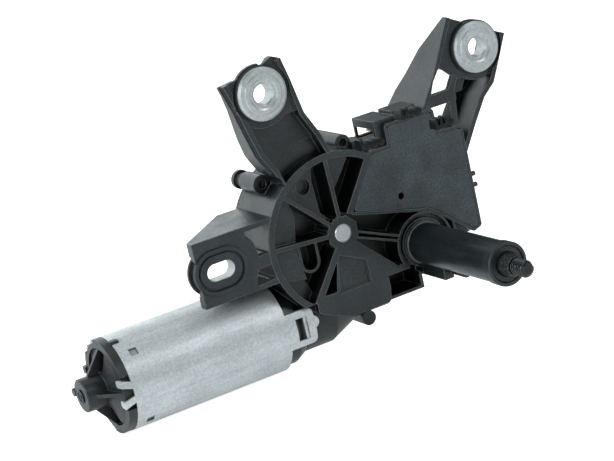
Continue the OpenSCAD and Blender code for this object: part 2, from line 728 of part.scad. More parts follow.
// The deep left wall's side view
module ur_fin() {
    side_view([
        [front_y - 2, ur_z + 20], [front_y + 3.2, ur_z + 18.2], [front_y + 18.5, ur_z + 3.5],
        [front_y + 30, ur_z - 14.6], [back_y - 1, ur_z - 23], [back_y - 1, 20], [front_y - 2, 20]
    ]);
}
ur_window_top = [
    [ur_x - 21.9, ur_z - 3.9], [ur_x - 15.8, ur_z - 9.9], [ur_x - 19.7, ur_z - 15.6],
    [ur_x - 29.2, ur_z - 15.7], [ur_x - 26.7, ur_z - 10]
];
ur_window_low = [
    [ur_x - 30.6, ur_z - 21.7], [ur_x - 22.6, ur_z - 21.7], [ur_x - 20.8, ur_z - 36],
    [ur_x - 31.5, ur_z - 36]
];
module ur_rib_2d() {
    stripe([ur_x - 17.6, ur_z - 15], [ur_x - 20, ur_z - 40], 3.4);
}
ur_wall_depth = 19;
module upper_right_arm() {
    color([0.16, 0.17, 0.18]) difference() {
        union() {
            intersection() {
                slab(front_y, back_y) intersection() {
                    ur_outline_2d();
                    chain(ur_left, 2*arm_wall);
                }
                ur_fin();
            }
            slab(front_y, front_y + ur_wall_depth) intersection() {
                ur_outline_2d();
                chain(ur_right, 2*arm_wall);
            }
            slab(front_y, front_y + 2.5) intersection() {
                ur_outline_2d();
                union() {
                    stripe([ur_x - 14.5, ur_z - 10], [ur_x - 18, ur_z - 17], 3.4);
                    ur_rib_2d();
                    stripe([ur_x - 32, ur_z - 19.2], [ur_x - 16, ur_z - 18.4], 6);
                }
            }
            // The rib between the windows and the open right half grows deeper towards the box
            intersection() {
                slab(front_y, front_y + 11) intersection() {
                    ur_outline_2d();
                    ur_rib_2d();
                }
                side_view([
                    [front_y - 2, ur_z - 15], [front_y + 2.5, ur_z - 15], [front_y + 2.5, ur_z - 21.7],
                    [front_y + 6, ur_z - 25.5], [front_y + 9.5, ur_z - 30], [front_y + 12, ur_z - 36],
                    [front_y + 12, 20], [front_y - 2, 20]
                ]);
            }
            // The web leaves the right half open below the bush
            intersection() {
                union() {
                    slab(floor_web_y, floor_web_y + web_t) difference() {
                        ur_outline_2d();
                        polygon([
                            [ur_x - 5.5, ur_z - 13], [ur_x + 25, ur_z - 12], [ur_x + 25, 20], [ur_x - 24, 20],
                            [ur_x - 22.8, ur_z - 21.7], [ur_x - 15.8, ur_z - 19.5], [ur_x - 9, ur_z - 19.5]
                        ]);
                    }
                    slab(web_y0, floor_web_y + web_t) intersection() {
                        ur_outline_2d();
                        bush_web_2d(ur_x, ur_z);
                    }
                }
                ur_fin();
            }
            // Deep web along the right wall
            slab(front_y + ur_wall_depth - 2, front_y + ur_wall_depth) intersection() {
                ur_outline_2d();
                chain(ur_right, 2*arm_wall + 8);
                at(0, 20) square([80, ur_z - 34]);
            }
        }
        slab(web_y1, floor_web_y + web_t + cut) at(ur_x, ur_z) circle(seat_r);
        ybar(ur_x, ur_z, front_y - 1, web_y0, 2*seat_r);
        ybar(ur_x, ur_z, front_y, arm_back_y, 2*neck_r);
        slab(front_y - cut, back_y) polygon(ur_window_top);
        slab(front_y - cut, back_y) polygon(ur_window_low);
        // The upper window widens behind the front frame
        slab(front_y + 2.5, back_y) polygon([for (p = ur_window_top) p + [3, -1.2]]);
    }
}
ll_left = ll_x - 11.5;
ll_top = ll_z + 16;
ll_low = ll_z - 15.2;
module ll_outline_2d() {
    difference() {
        polygon([
            [ll_left, ll_low], [ll_left, ll_top], [wheel_x - 20, ll_top], [wheel_x - 20, ll_low]
        ]);
        drum_2d(drum_r);
    }
}
// Plan view of the arm: its back runs slanting from the left end to the case's back edge
module ll_plan() {
    translate([0, 0, ll_low]) linear_extrude(ll_top - ll_low) polygon([
        [ll_left, front_y], [ll_left, front_y + 5], [ll_left + 30, back_y], [wheel_x, back_y],
        [wheel_x, front_y]
    ]);
}
ll_window = [
    [ll_x + 15.6, ll_z + 13.4], [wheel_x - 34.5, ll_z + 13.4], [wheel_x - 34.5, ll_z + 0.4], [ll_x + 19.8, ll_z + 0.4],
    [ll_x + 19.6, ll_z + 3.4], [ll_x + 18.9, ll_z + 7], [ll_x + 17.6, ll_z + 9.6], [ll_x + 15.6, ll_z + 11.8]
];
ll_pocket = [
    [ll_x + 18.1, ll_z - 5.9], [wheel_x - 37, ll_z - 4.8], [wheel_x - 37, ll_z - 12.2], [ll_x + 16.5, ll_z - 13.1],
    [ll_x + 15.8, ll_z - 12]
];
module lower_left_arm() {
    color([0.16, 0.17, 0.18]) difference() {
        union() {
            intersection() {
                slab(front_y, back_y) ll_outline_2d();
                ll_plan();
                // Walls around the edge, with the front web between them
                union() {
                    translate([ll_left, 0, ll_top - arm_wall]) cube([100, 200, arm_wall]);
                    translate([ll_left, 0, ll_low]) cube([100, 200, arm_wall]);
                    translate([ll_left, 0, ll_low]) cube([arm_wall, 200, 60]);
                    slab(front_y, front_y + web_t + 2) ll_outline_2d();
                    translate([wheel_x - 40.5, 0, ll_low]) cube([20, 200, 60]);
                }
            }
        }
        slab(front_y - cut, web_y0) at(ll_x, ll_z) obround(slot_lip_r, slot_half);
        slab(front_y - cut, back_y) at(ll_x, ll_z) obround(slot_neck_r, slot_half);
        slab(web_y1, back_y) at(ll_x, ll_z) obround(slot_lip_r + 2.2, slot_half);
        slab(front_y - cut, back_y - 4) difference() {
            polygon(ll_window);
            drum_2d(drum_r + 0.1);
        }
        slab(front_y - cut, back_y - 8) difference() {
            polygon(ll_pocket);
            drum_2d(drum_r + 0.1);
        }
        // The motor can passes behind the arm
        xbar(can_rear_x, can_front_x + 0.5, can_d + 0.6);
        motor_seat();
    }
}

// Rubber grommets and metal sleeves

module round_grommet(x, z) {
    color([0.06, 0.06, 0.065]) difference() {
        union() {
            ybar(x, z, lip_y, web_y0, grommet_d);
            ybar(x, z, web_y0, web_y1, 2*neck_r);
            ybar(x, z, web_y1, web_y1 + grommet_lip, grommet_d);
        }
        ybar(x, z, lip_y - cut, web_y1 + 4, 2*sleeve_r);
    }
}
module round_sleeve(x, z) {
    color([0.72, 0.73, 0.74]) translate([x, sleeve_y0, z]) rotate([-90, 0, 0]) rotate_extrude() polygon([
        [bolt_hole_d/2, 1.2], [bolt_hole_d/2 + 0.8, 0.6], [bolt_hole_d/2 + 1.9, 0.5],
        [bolt_hole_d/2 + 2.8, 0], [sleeve_flange_d/2 - 3.4, 0], [sleeve_flange_d/2 - 2.9, 0.4],
        [sleeve_flange_d/2 - 1.1, 0.4], [sleeve_flange_d/2, 1.2], [sleeve_flange_d/2, sleeve_flange_t],
        [sleeve_r, sleeve_flange_t], [sleeve_r, sleeve_len], [bolt_hole_d/2, sleeve_len]
    ]);
}
module upper_left_grommet() {
    round_grommet(ul_x, ul_z);
}
module upper_left_sleeve() {
    round_sleeve(ul_x, ul_z);
}
module upper_right_grommet() {
    round_grommet(ur_x, ur_z);
}
module upper_right_sleeve() {
    round_sleeve(ur_x, ur_z);
}
// The oval grommet covers the sleeve's front edge
module lower_left_grommet() {
    color([0.06, 0.06, 0.065]) difference() {
        union() {
            slab(front_y + 0.4, web_y0) at(ll_x, ll_z) obround(slot_lip_r, slot_half);
            // Two raised rings on the front
            slab(sleeve_y0 + 1, front_y + 1) at(ll_x, ll_z) difference() {
                obround(slot_lip_r, slot_half);
                obround(slot_lip_r - 1.7, slot_half);
            }
            slab(sleeve_y0 + 1.4, front_y + 1) at(ll_x, ll_z) obround(slot_sleeve_r + 2.1, slot_half);
            slab(web_y0, web_y1) at(ll_x, ll_z) obround(slot_neck_r, slot_half);
            slab(web_y1, web_y1 + grommet_lip) at(ll_x, ll_z) obround(slot_lip_r + 1.2, slot_half);
        }
        slab(front_y, front_y + 20) at(ll_x, ll_z) obround(slot_sleeve_r, slot_half);
        slab(sleeve_y0, front_y + 0.2) at(ll_x, ll_z) obround(slot_w/2 + 0.2, slot_half);
    }
}
module lower_left_sleeve() {
    color([0.72, 0.73, 0.74]) slab(front_y, front_y + 7.5) at(ll_x, ll_z) difference() {
        obround(slot_sleeve_r, slot_half);
        obround(slot_w/2, slot_half);
    }
}

// Covers and electronics

module back_outline_2d() {
    drum_2d(drum_r);
    box_low_2d();
    collar_2d();
    at(arc_x, arc_z) circle(arc_room_r + 2);
    for (p = posts)
        at(p[0], p[1]) circle(d = p[2]);
    stripe([posts[2][0], posts[2][1]], [posts[2][0], motor_z + 5], posts[2][2]);
}
module back_cover() {
    color([0.13, 0.135, 0.14]) difference() {
        union() {
            slab(back_y, back_y + back_cover_t) back_outline_2d();
            ybar(posts[0][0], posts[0][1], back_y - boss_len + 0.1, back_y + 1, post_d - 2.2);
            // Stiffening ribs: a ring, spokes and a bar over the rod's room
            slab(back_y + back_cover_t, back_y + back_cover_t + back_rib_h) intersection() {
                back_outline_2d();
                union() {
                    difference() {
                        drum_2d(30);
                        drum_2d(28.4);
                    }
                    difference() {
                        at(wheel_x, wheel_z) for (a = [0:60:300]) rotate(a) translate([12, -0.8]) square([18, 1.6]);
                        for (p = posts)
                            at(p[0], p[1]) circle(d = p[2] + 2);
                    }
                    difference() {
                        drum_2d(13);
                        drum_2d(11.4);
                    }
                    stripe([wheel_x + 30, 24], [box_right - 6, 24], 1.6);
                }
            }
        }
        for (p = posts)
            ybar(p[0], p[1], back_y - boss_len, back_y + back_cover_t + cut, screw_hole_d + 0.4);
        // The motor's throat bulges through the cover's lower edge
        motor_seat(0.4);
    }
}
module cover_screws() {
    color([0.5, 0.5, 0.52]) for (p = posts) {
        ybar(p[0], p[1], back_y - 12, back_y + back_cover_t, screw_hole_d);
        difference() {
            ybar(p[0], p[1], back_y + back_cover_t, back_y + back_cover_t + 2.2, 6);
            slab(back_y + back_cover_t + 0.9, back_y + back_cover_t + 2.3) at(p[0], p[1]) {
                square([3.6, 0.8], center = true);
                square([0.8, 3.6], center = true);
            }
        }
    }
}
lid_hole = [wheel_x + 34.3, wheel_z + 7.4];
module electronics_cover() {
    color([0.2, 0.21, 0.22]) difference() {
        slab(front_y, front_y + lid_t) difference() {
            lid_2d();
            circle(d = collar_d + 0.6);
        }
        ybar(lid_hole[0], lid_hole[1], front_y - cut, front_y + lid_t + cut, 3.6);
    }
}
board_y = front_y + lid_t + 4.4;
module circuit_board() {
    color([0.1, 0.32, 0.18]) slab(board_y, board_y + board_t) difference() {
        polygon([
            [wheel_x + 22, wheel_z + 12], [wheel_x + 30, box_top - 13], [box_right - 4, box_top - 13],
            [box_right - 4, 22], [12, 20]
        ]);
        ybar_hole_2d();
    }
}
module ybar_hole_2d() {
    at(lid_hole[0], lid_hole[1]) circle(d = 4);
}
module board_relay() {
    color([0.75, 0.75, 0.72]) slab(board_y - 4, board_y) at(12, 28) square([12, 14]);
}
module board_capacitor() {
    color([0.2, 0.25, 0.5]) ybar(-8, box_top - 20, board_y - 4.2, board_y, 6);
}
// The socket for the car's plug opens towards the motor, with a window in its back wall
shroud_x0 = wheel_x + 29;
shroud_x1 = shroud_x0 + 12;
shroud_z0 = box_top - 8;
module connector_shroud() {
    y0 = front_y + 2.5;
    y1 = front_y + 23;
    w = shroud_x1 - shroud_x0;
    color([0.15, 0.16, 0.17]) difference() {
        union() {
            // Roof, floor, front wall and the thin post at the back of the mouth
            translate([shroud_x0, y0, box_top]) cube([w, y1 - y0, 4]);
            translate([shroud_x0, y0, shroud_z0 - 0.3]) cube([w, y1 - y0, 1.8]);
            translate([shroud_x0, y0, shroud_z0]) cube([w, 2, 10]);
            translate([shroud_x0, y1 - 1.4, shroud_z0]) cube([1.2, 1.4, 10]);
            translate([shroud_x1 - 1.6, y0, shroud_z0]) cube([1.6, y1 - y0, 10]);
            // Raised block beside the roof
            translate([shroud_x1 - 1, y0 + 0.5, box_top]) cube([13, 12.5, 6]);
        }
        slab(front_y, front_y + 7) box_2d();
        slab(front_y, front_y + 15) intersection() {
            box_2d();
            at(-1, 0) square([60, 80]);
        }
        slab(front_y, back_y) {
            box_low_2d();
            ybar_2d_post();
        }
        ur_fin_room();
    }
}
module ur_fin_room() {
    slab(front_y, back_y) polygon(concat(ur_left, [[ur_x, ur_z + 18], [ur_x, box_top - 6]]));
}
module ybar_2d_post() {
    at(posts[1][0], posts[1][1]) circle(d = posts[1][2] + 0.4);
}
module connector_pins() {
    color([0.8, 0.7, 0.4]) for (i = [0:1])
        translate([shroud_x1 - 7.6, front_y + 14 + 3.5*i, shroud_z0 + 4.7]) cube([6, 2, 0.8]);
}

// Worm wheel and what it turns on

module wheel_axle() {
    color([0.8, 0.81, 0.82]) translate([wheel_x, front_y - 0.4, wheel_z]) rotate([-90, 0, 0]) {
        cylinder(h = 0.6, d1 = axle_d - 1, d2 = axle_d);
        translate([0, 0, 0.6]) cylinder(h = disc_y - 1.6 - front_y, d = axle_d);
    }
}
module worm_wheel() {
    color([0.88, 0.86, 0.8]) difference() {
        union() {
            slab(wheel_y0, wheel_y1) difference() {
                at(wheel_x, wheel_z) polygon([
                    for (i = [0:wheel_teeth - 1])
                        each tooth(wheel_module, wheel_teeth, 360*i/wheel_teeth, worm_thin, wheel_module,
                            1.25*wheel_module)
                ]);
                drum_2d(wheel_r - 4.6);
            }
            slab(motor_y - 1.2, motor_y + 1.2) drum_2d(wheel_r - 4);
            slab(wheel_y0 + 0.6, wheel_y1 - 0.6) at(wheel_x, wheel_z) for (a = [0:45:315])
                rotate(a + 10) translate([9, -0.8]) square([wheel_r - 13, 1.6]);
            slab(chamber_y + 0.4, motor_y) drum_2d(axle_d/2 + 3);
            slab(motor_y, disc_y) drum_2d(13.5);
        }
        ybar(wheel_x, wheel_z, chamber_y, disc_y - 1.2, axle_d + 2*run_gap);
    }
}
module park_contact_plate() {
    color([0.8, 0.55, 0.3]) slab(wheel_y0 + 0.3, wheel_y0 + 0.6) difference() {
        drum_2d(25);
        drum_2d(16);
        polygon([[wheel_x, wheel_z], [wheel_x + 40, wheel_z + 10], [wheel_x + 40, wheel_z - 6]]);
    }
}
module contact_fingers() {
    color([0.85, 0.7, 0.35]) for (i = [0:2])
        translate([wheel_x - 18 - 3*i + 1, 0, wheel_z + 4]) rotate([90, 0, 90]) linear_extrude(1.6) polygon([
            [chamber_y, 0], [chamber_y + 0.4, 0], [chamber_y + 0.4, 5], [wheel_y0 - 0.2, 12], [wheel_y0 - 0.6, 12],
            [chamber_y, 5.4]
        ]);
}

// Toothed rod drive

module rod_2d() {
    teeth_from = -1;
    teeth_to = 4;
    first = link_angle + 180 + teeth_from*rod_pitch_angle;
    last = link_angle + 180 + teeth_to*rod_pitch_angle;
    root_r = arc_r - dedendum;
    at(arc_x, arc_z) {
        polygon(concat(
            [[0, 0]],
            [polar(root_r, first - 0.6*rod_pitch_angle)],
            [for (i = [teeth_from:teeth_to])
                each tooth(rod_module, rod_teeth, link_angle + 180 + i*rod_pitch_angle, rod_thin, addendum,
                    dedendum)],
            [polar(root_r, last + 0.6*rod_pitch_angle)]
        ));
        circle(d = rod_pin_d + 6);
    }
    stripe([arc_x, arc_z], [eye_x, eye_z], 8);
    at(eye_x, eye_z) circle(d = rod_pin_d + 6);
}
module toothed_rod() {
    color([0.62, 0.62, 0.64]) slab(rod_y0, rod_y1) difference() {
        rod_2d();
        at(arc_x, arc_z) circle(d = rod_pin_d + 2*run_gap);
        at(eye_x, eye_z) circle(d = rod_pin_d);
    }
}
module crank_pin() {
    color([0.75, 0.76, 0.77]) ybar(eye_x, eye_z, disc_y + 0.2, rod_y1, rod_pin_d);
}
module guide_link() {
    color([0.55, 0.56, 0.58]) slab(link_y0, link_y1) difference() {
        union() {
            stripe([0, 0], [arc_x, arc_z], 10);
            circle(d = shaft_d + 7);
            at(arc_x, arc_z) circle(d = rod_pin_d + 6);
        }
        circle(d = shaft_d + 2*run_gap);
        at(arc_x, arc_z) circle(d = rod_pin_d);
    }
}
module guide_pin() {
    color([0.75, 0.76, 0.77]) {
        ybar(arc_x, arc_z, rod_y0 - 0.1, link_y1, rod_pin_d);
        ybar(arc_x, arc_z, rod_y0 - 1, rod_y0 - 0.1, rod_pin_d + 3);
    }
}
module output_pinion() {
    color([0.6, 0.6, 0.62]) slab(rod_y0, rod_y1) difference() {
        rotate(link_angle + 180/pinion_teeth) polygon([
            for (i = [0:pinion_teeth - 1])
                each tooth(rod_module, pinion_teeth, 360*i/pinion_teeth, rod_thin, addendum, dedendum)
        ]);
        circle(d = shaft_d);
    }
}
module output_shaft() {
    end_y = link_y1 + 0.1 + ring_t;
    color([0.2, 0.2, 0.2]) rotate([-90, 0, 0]) rotate_extrude() polygon([
        [0, -thread_len], [thread_d/2 - 0.8, -thread_len], [thread_d/2, -thread_len + 0.8], [thread_d/2, 0],
        [cone_tip_d/2, 0], [shaft_d/2, cone_len], [shaft_d/2, end_y], [0, end_y]
    ]);
}
module shaft_retaining_ring() {
    color([0.5, 0.5, 0.52]) slab(link_y1 + 0.1, link_y1 + 0.1 + ring_t) difference() {
        circle(d = shaft_d + 5);
        circle(d = shaft_d);
    }
}
module shaft_bush(y0) {
    color([0.7, 0.55, 0.35]) slab(y0, y0 + bush_len) difference() {
        circle(d = tube_bore_d);
        circle(d = shaft_d + 2*run_gap);
    }
}
module front_shaft_bush() {
    shaft_bush(front_seat_y1 - bush_len);
}
module rear_shaft_bush() {
    shaft_bush(rear_seat_y0);
}
module shaft_seal() {
    color([0.07, 0.07, 0.075]) slab(front_seat_y1 - bush_len - seal_len, front_seat_y1 - bush_len) difference() {
        circle(d = tube_bore_d);
        circle(d = shaft_d + 2*run_gap);
    }
}
module seal_cap() {
    color([0.1, 0.105, 0.11]) translate([0, tube_end_y, 0]) rotate([-90, 0, 0]) rotate_extrude() polygon([
        [shaft_d/2 + 0.3, 0.9], [seal_cap_d/2 - 2.2, 0.9], [seal_cap_d/2 - 1.6, 0], [seal_cap_d/2 - 0.4, 0],
        [seal_cap_d/2, 0.4], [seal_cap_d/2, seal_cap_len], [spigot_d/2, seal_cap_len], [spigot_d/2, 2],
        [shaft_d/2 + 0.3, 2]
    ]);
}

// Motor

tab_half = 8.7;
tab_len = 14;
// Outline of a hooked tab: a broad strip with a round nose
module tab_2d() {
    at(can_front_x - 1, motor_z) translate([0, -tab_half]) square([tab_len - 1.5, 2*tab_half]);
    at(can_front_x - 1, motor_z) translate([0, -tab_half + 2.5]) square([tab_len + 1, 2*tab_half - 5]);
    for (s = [-1, 1])
        at(can_front_x + tab_len - 2.5, motor_z + s*(tab_half - 2.5)) circle(2.5);
    at(can_front_x + tab_len - 1, motor_z + 1.5) circle(3);
}
// Outline of a forked crimp tab, and of its tips that are bent over the cap's rim
module fork_2d() {
    for (s = [-1, 1])
        stripe([can_rear_x + 1, motor_z + 3*s], [rim_x - 2, motor_z + 5.4*s], 3.2);
}
module fork_tip_2d() {
    for (s = [-1, 1]) {
        stripe([5.3*s, 0.4 - can_r], [4.8*s, 4 - can_r], 3.2);
        at(4.8*s, 4 - can_r) circle(1.8);
    }
}
// The can is one drawn tube; its tabs are what is left standing beyond its two edges
module motor_can() {
    color([0.74, 0.76, 0.78]) difference() {
        union() {
            difference() {
                xbar(rim_x - 1.2, can_front_x + tab_len + 2.6, can_d);
                xbar(rim_x - 2, can_front_x + tab_len + 3, 2*can_in_r);
                difference() {
                    xbar(can_front_x, can_front_x + tab_len + 4, can_d + 4);
                    for (a = [0, 180])
                        around(a) slab(motor_y - can_r - 3, motor_y) tab_2d();
                }
                difference() {
                    xbar(rim_x - 3, can_rear_x, can_d + 4);
                    for (a = fork_at)
                        around(a) slab(motor_y - can_r - 3, motor_y - can_r + 8) fork_2d();
                }
            }
            around(fork_at[0]) xslab(rim_x - 1.2, rim_x) intersection() {
                circle(can_r - 0.3);
                fork_tip_2d();
            }
            // Folded tongues behind the tabs' windows
            for (a = [0, 180])
                around(a) intersection() {
                    difference() {
                        xbar(can_front_x + 8.4, can_front_x + 10.6, can_d - 1);
                        xbar(can_front_x + 8, can_front_x + 11, 2*can_in_r - 2);
                    }
                    slab(motor_y - can_r - 1, motor_y - can_r + 6)
                        at(can_front_x + 8, motor_z) translate([0, 0.4 - tab_half]) square([4, 2*tab_half - 0.8]);
                }
        }
        for (a = [0, 180])
            around(a) {
                slab(motor_y - can_r - 1, motor_y - can_r + 6)
                    at(can_front_x + 4.3, motor_z) translate([0, -5.4]) square([4.2, 10.8]);
                slab(motor_y - can_r - 1, motor_y - can_r + 0.9)
                    at(can_front_x + 8.3, motor_z) translate([0, -5.4]) square([1.9, 10.8]);
            }
        translate([rim_x - 3, motor_y - 10, motor_z - can_d]) cube([3.4, can_d, 2*can_d]);
        // Square dimples that key the magnets
        for (a = [-47, 47, 133, 227])
            around(a) translate([can_rear_x + 5.1, motor_y - can_r - 1, motor_z - 1.9]) cube([3.8, 2.1, 3.8]);
        // Notch for the rear cap's key
        translate([can_rear_x - 1, motor_y - 9, motor_z + can_r - 4]) cube([4.8, 3.4, 6]);
    }
}
// A shape at the front of the motor's axis, turned around it
module around(a) {
    translate([0, motor_y, motor_z]) rotate([a, 0, 0]) translate([0, -motor_y, -motor_z]) children();
}
// The front fork's tips are bent over the rim, the others' end inside their notches
fork_at = [-2, 118, 238];
module rear_cap() {
    color([0.14, 0.145, 0.15]) difference() {
        union() {
            difference() {
                // Nose, dished face, rim and spigot in one turned outline
                translate([rim_x, motor_y, motor_z]) rotate([0, 90, 0]) rotate_extrude() polygon([
                    [0, -nose_len], [nose_d/2 - 0.5, -nose_len], [nose_d/2, 0.5 - nose_len], [nose_d/2, -2.4],
                    [face_r, 1.4], [face_r, 0], [can_d/2 - 0.15, 0], [can_d/2 - 0.15, cap_rim_w],
                    [can_in_r - 0.05, cap_rim_w], [can_in_r - 0.05, cap_rim_w + 4], [0, cap_rim_w + 4]
                ]);
                // Channels beside the upper and lower ribs
                for (a = [90, 270])
                    around(a) translate([nose_x, motor_y - face_r + 0.4, motor_z - 4.6])
                        cube([rim_x + 4.4 - nose_x, face_r - nose_d/2 - 1, 9.2]);
            }
            for (a = [0:90:270])
                around(a) cap_rib();
            // Key that enters the can's notch
            translate([can_rear_x - 1, motor_y - 8.7, motor_z + can_in_r - 2]) cube([4.4, 2.8, can_wall + 1.6]);
            // Small stub on the far side of the nose
            translate([nose_x - 0.4, motor_y + nose_d/2 + 1.2, motor_z]) rotate([0, 90, 0]) cylinder(h = 11, d = 4);
            // Clip outside the far side of the rim
            translate([rim_x - 1, motor_y + can_r - 1.8, motor_z + 2.2]) cube([cap_rim_w, 3.4, 3.4]);
        }
        // Notches for the forked crimp tabs
        for (a = fork_at)
            around(a) difference() {
                translate([rim_x - 2, motor_y - can_r - 2, motor_z - 7.8]) cube([cap_rim_w + 2, 10, 15.6]);
                xbar(rim_x - 3, can_rear_x + 1, 2*can_in_r - 0.3);
            }
        // Hollow behind the face
        xbar(can_rear_x + 1.4, can_rear_x + 5, 2*can_in_r - 4);
        xbar(nose_x + 2, nose_x + 12, bearing_out_d);
        xbar(nose_x + 11, can_rear_x + 2, arm_shaft_d + 3);
    }
}
face_r = can_in_r - 2.4;
module cap_rib() {
    translate([0, motor_y, motor_z - 0.8]) linear_extrude(1.6) polygon([
        [nose_x + 4.5, 0], [nose_x + 4.5, -nose_d/2], [rim_x, 0.3 - face_r], [rim_x, -face_r - 1],
        [can_rear_x - 1, -face_r - 1], [can_rear_x - 1, 0]
    ]);
}
module rear_bearing() {
    color([0.7, 0.55, 0.35]) difference() {
        xbar(nose_x + 3.5, nose_x + 10.5, bearing_out_d);
        xbar(nose_x + 3, nose_x + 11, journal_d + 2*run_gap);
    }
}
module magnet_arc(a) {
    around(a) intersection() {
        difference() {
            xbar(magnet_x0, magnet_x1, 2*can_in_r);
            xbar(magnet_x0 - 1, magnet_x1 + 1, 2*(can_in_r - magnet_t));
        }
        translate([0, motor_y, motor_z]) rotate([90, 0, 90]) linear_extrude(400, center = true)
            polygon([[0, 0], [-60, -42], [-60, 42]]);
    }
}
module magnets() {
    color([0.25, 0.25, 0.27]) {
        magnet_arc(0);
        magnet_arc(180);
    }
}
module magnet_clips() {
    color([0.7, 0.71, 0.72]) for (s = [-1, 1])
        translate([magnet_x0 + 6, motor_y - 4, motor_z + s*(can_in_r - 3) - 0.4])
            cube([magnet_x1 - magnet_x0 - 12, 8, 0.8]);
}
module armature_shaft() {
    color([0.72, 0.73, 0.75]) {
        xbar(nose_x + 3, nose_x + 12, journal_d);
        xbar(nose_x + 12, tip_x0 - 0.5, arm_shaft_d);
        xbar(tip_x0 - 0.5, tip_x1 - 0.1, journal_d);
    }
}
// Single-start worm: its cross-section turned along the axis
thread_tip = PI*wheel_module/4 - worm_thin/2 - wheel_module*tan(20);
thread_root = PI*wheel_module/4 - worm_thin/2 + 1.25*wheel_module*tan(20);
function thread_r(a) =
    let (s = abs(a)*worm_lead/360)
    s < thread_tip ? worm_tip_r
        : s > thread_root ? worm_root_r
        : worm_tip_r + (worm_root_r - worm_tip_r)*(s - thread_tip)/(thread_root - thread_tip);
module worm() {
    turn = -180*worm_len/worm_lead;
    color([0.66, 0.67, 0.69]) difference() {
        translate([worm_x, motor_y, motor_z]) rotate([0, 90, 0])
            linear_extrude(worm_len, twist = -360*worm_len/worm_lead, slices = round(18*worm_len/worm_lead),
                segments = 18, $fn = 18)
                polygon([for (a = [-180:20:160]) polar(thread_r(a), a + turn)]);
        xbar(worm_x - 1, worm_x + worm_len + 1, arm_shaft_d);
    }
}
slots = 8;
slot_pitch_r = core_d/2 - 5;
module armature_core() {
    color([0.45, 0.46, 0.48]) xslab(core_x0, core_x1) difference() {
        circle(d = core_d);
        circle(d = arm_shaft_d);
        for (i = [0:slots - 1]) rotate(360*i/slots) {
            at(slot_pitch_r, 0) circle(3.2);
            at(slot_pitch_r, -0.8) square([8, 1.6]);
        }
    }
}
module armature_windings() {
    color([0.72, 0.38, 0.16]) {
        for (i = [0:slots - 1])
            xslab(core_x0, core_x1) rotate(360*i/slots) at(slot_pitch_r, 0) circle(3.1);
        for (x = [core_x0 - 5, core_x1])
            xslab(x, x + 5) difference() {
                circle(d = core_d - 2.4);
                circle(d = arm_shaft_d + 2);
            }
    }
}
module commutator() {
    color([0.75, 0.45, 0.25]) xslab(comm_x0, comm_x1) difference() {
        circle(d = comm_d);
        circle(d = arm_shaft_d);
        for (i = [0:slots - 1]) rotate(360*i/slots + 22.5) at(comm_d/2 - 1.2, -0.3) square([3, 0.6]);
    }
}
module front_bearing() {
    color([0.78, 0.79, 0.8]) difference() {
        xbar(bearing_x0, bearing_x1, bearing_d);
        xbar(bearing_x0 - 1, bearing_x1 + 1, arm_shaft_d + 2*run_gap);
    }
}
module worm_tip_bush() {
    color([0.7, 0.55, 0.35]) difference() {
        xbar(tip_x0, tip_x1, tip_bush_d);
        xbar(tip_x0 - 1, tip_x1 + 1, journal_d + 2*run_gap);
    }
}
module thrust_pad() {
    color([0.9, 0.88, 0.8]) xbar(tip_x1, tunnel_x1 - 3, tip_bush_d);
}
brush_w = 5;
brush_room = can_in_r - 2.6 - comm_d/2;
brush_len = brush_room/2;
brush_h = 6;
holder_x = can_front_x - 1;
holder_r = can_in_r - 2.6;
module brush_holder() {
    color([0.35, 0.2, 0.12]) difference() {
        union() {
            xslab(holder_x, holder_x + 2.4) circle(holder_r);
            for (a = [0, 180])
                translate([0, motor_y, motor_z]) rotate([a, 0, 0])
                    translate([holder_x - brush_w - 1.6, comm_d/2 + 1, -brush_h/2 - 1])
                        cube([brush_w + 1.7, holder_r - comm_d/2 - 1.4, brush_h + 2]);
        }
        xbar(holder_x - 1, holder_x + 4, comm_d + 2);
        for (a = [0, 180])
            translate([0, motor_y, motor_z]) rotate([a, 0, 0])
                translate([holder_x - brush_w - 0.6, comm_d/2, -brush_h/2]) cube([brush_w, 30, brush_h]);
    }
}
module carbon_brushes() {
    color([0.15, 0.15, 0.15]) for (a = [0, 180])
        translate([0, motor_y, motor_z]) rotate([a, 0, 0])
            translate([holder_x - brush_w - 0.5, comm_d/2 + 0.15, -brush_h/2 + 0.1])
                cube([brush_w - 0.2, brush_len, brush_h - 0.2]);
}
module brush_springs() {
    color([0.75, 0.75, 0.76]) for (a = [0, 180])
        translate([0, motor_y, motor_z]) rotate([a, 0, 0])
            translate([holder_x - brush_w/2 - 0.6, comm_d/2 + brush_len + 0.2, 0]) rotate([-90, 0, 0]) difference() {
                cylinder(h = brush_room - brush_len - 0.7, d = 4);
                translate([0, 0, -1]) cylinder(h = 20, d = 2.8);
            }
}
module suppression_chokes() {
    color([0.5, 0.25, 0.12]) for (a = [90, 270])
        translate([0, motor_y, motor_z]) rotate([a, 0, 0])
            translate([holder_x + 2.4, 14, 0]) rotate([0, 90, 0]) cylinder(h = 7.5, d = 5);
}

gear_case();
upper_left_arm();
upper_right_arm();
lower_left_arm();
back_cover();
cover_screws();
electronics_cover();
circuit_board();
board_relay();
board_capacitor();
connector_shroud();
connector_pins();
contact_fingers();
worm_wheel();
park_contact_plate();
wheel_axle();
toothed_rod();
crank_pin();
guide_link();
guide_pin();
output_shaft();
output_pinion();
shaft_retaining_ring();
front_shaft_bush();
rear_shaft_bush();
shaft_seal();
seal_cap();
upper_left_grommet();
upper_left_sleeve();
upper_right_grommet();
upper_right_sleeve();
lower_left_grommet();
lower_left_sleeve();
motor_can();
rear_cap();
rear_bearing();
magnets();
magnet_clips();
armature_shaft();
worm();
armature_core();
armature_windings();
commutator();
front_bearing();
worm_tip_bush();
thrust_pad();
brush_holder();
carbon_brushes();
brush_springs();
suppression_chokes();
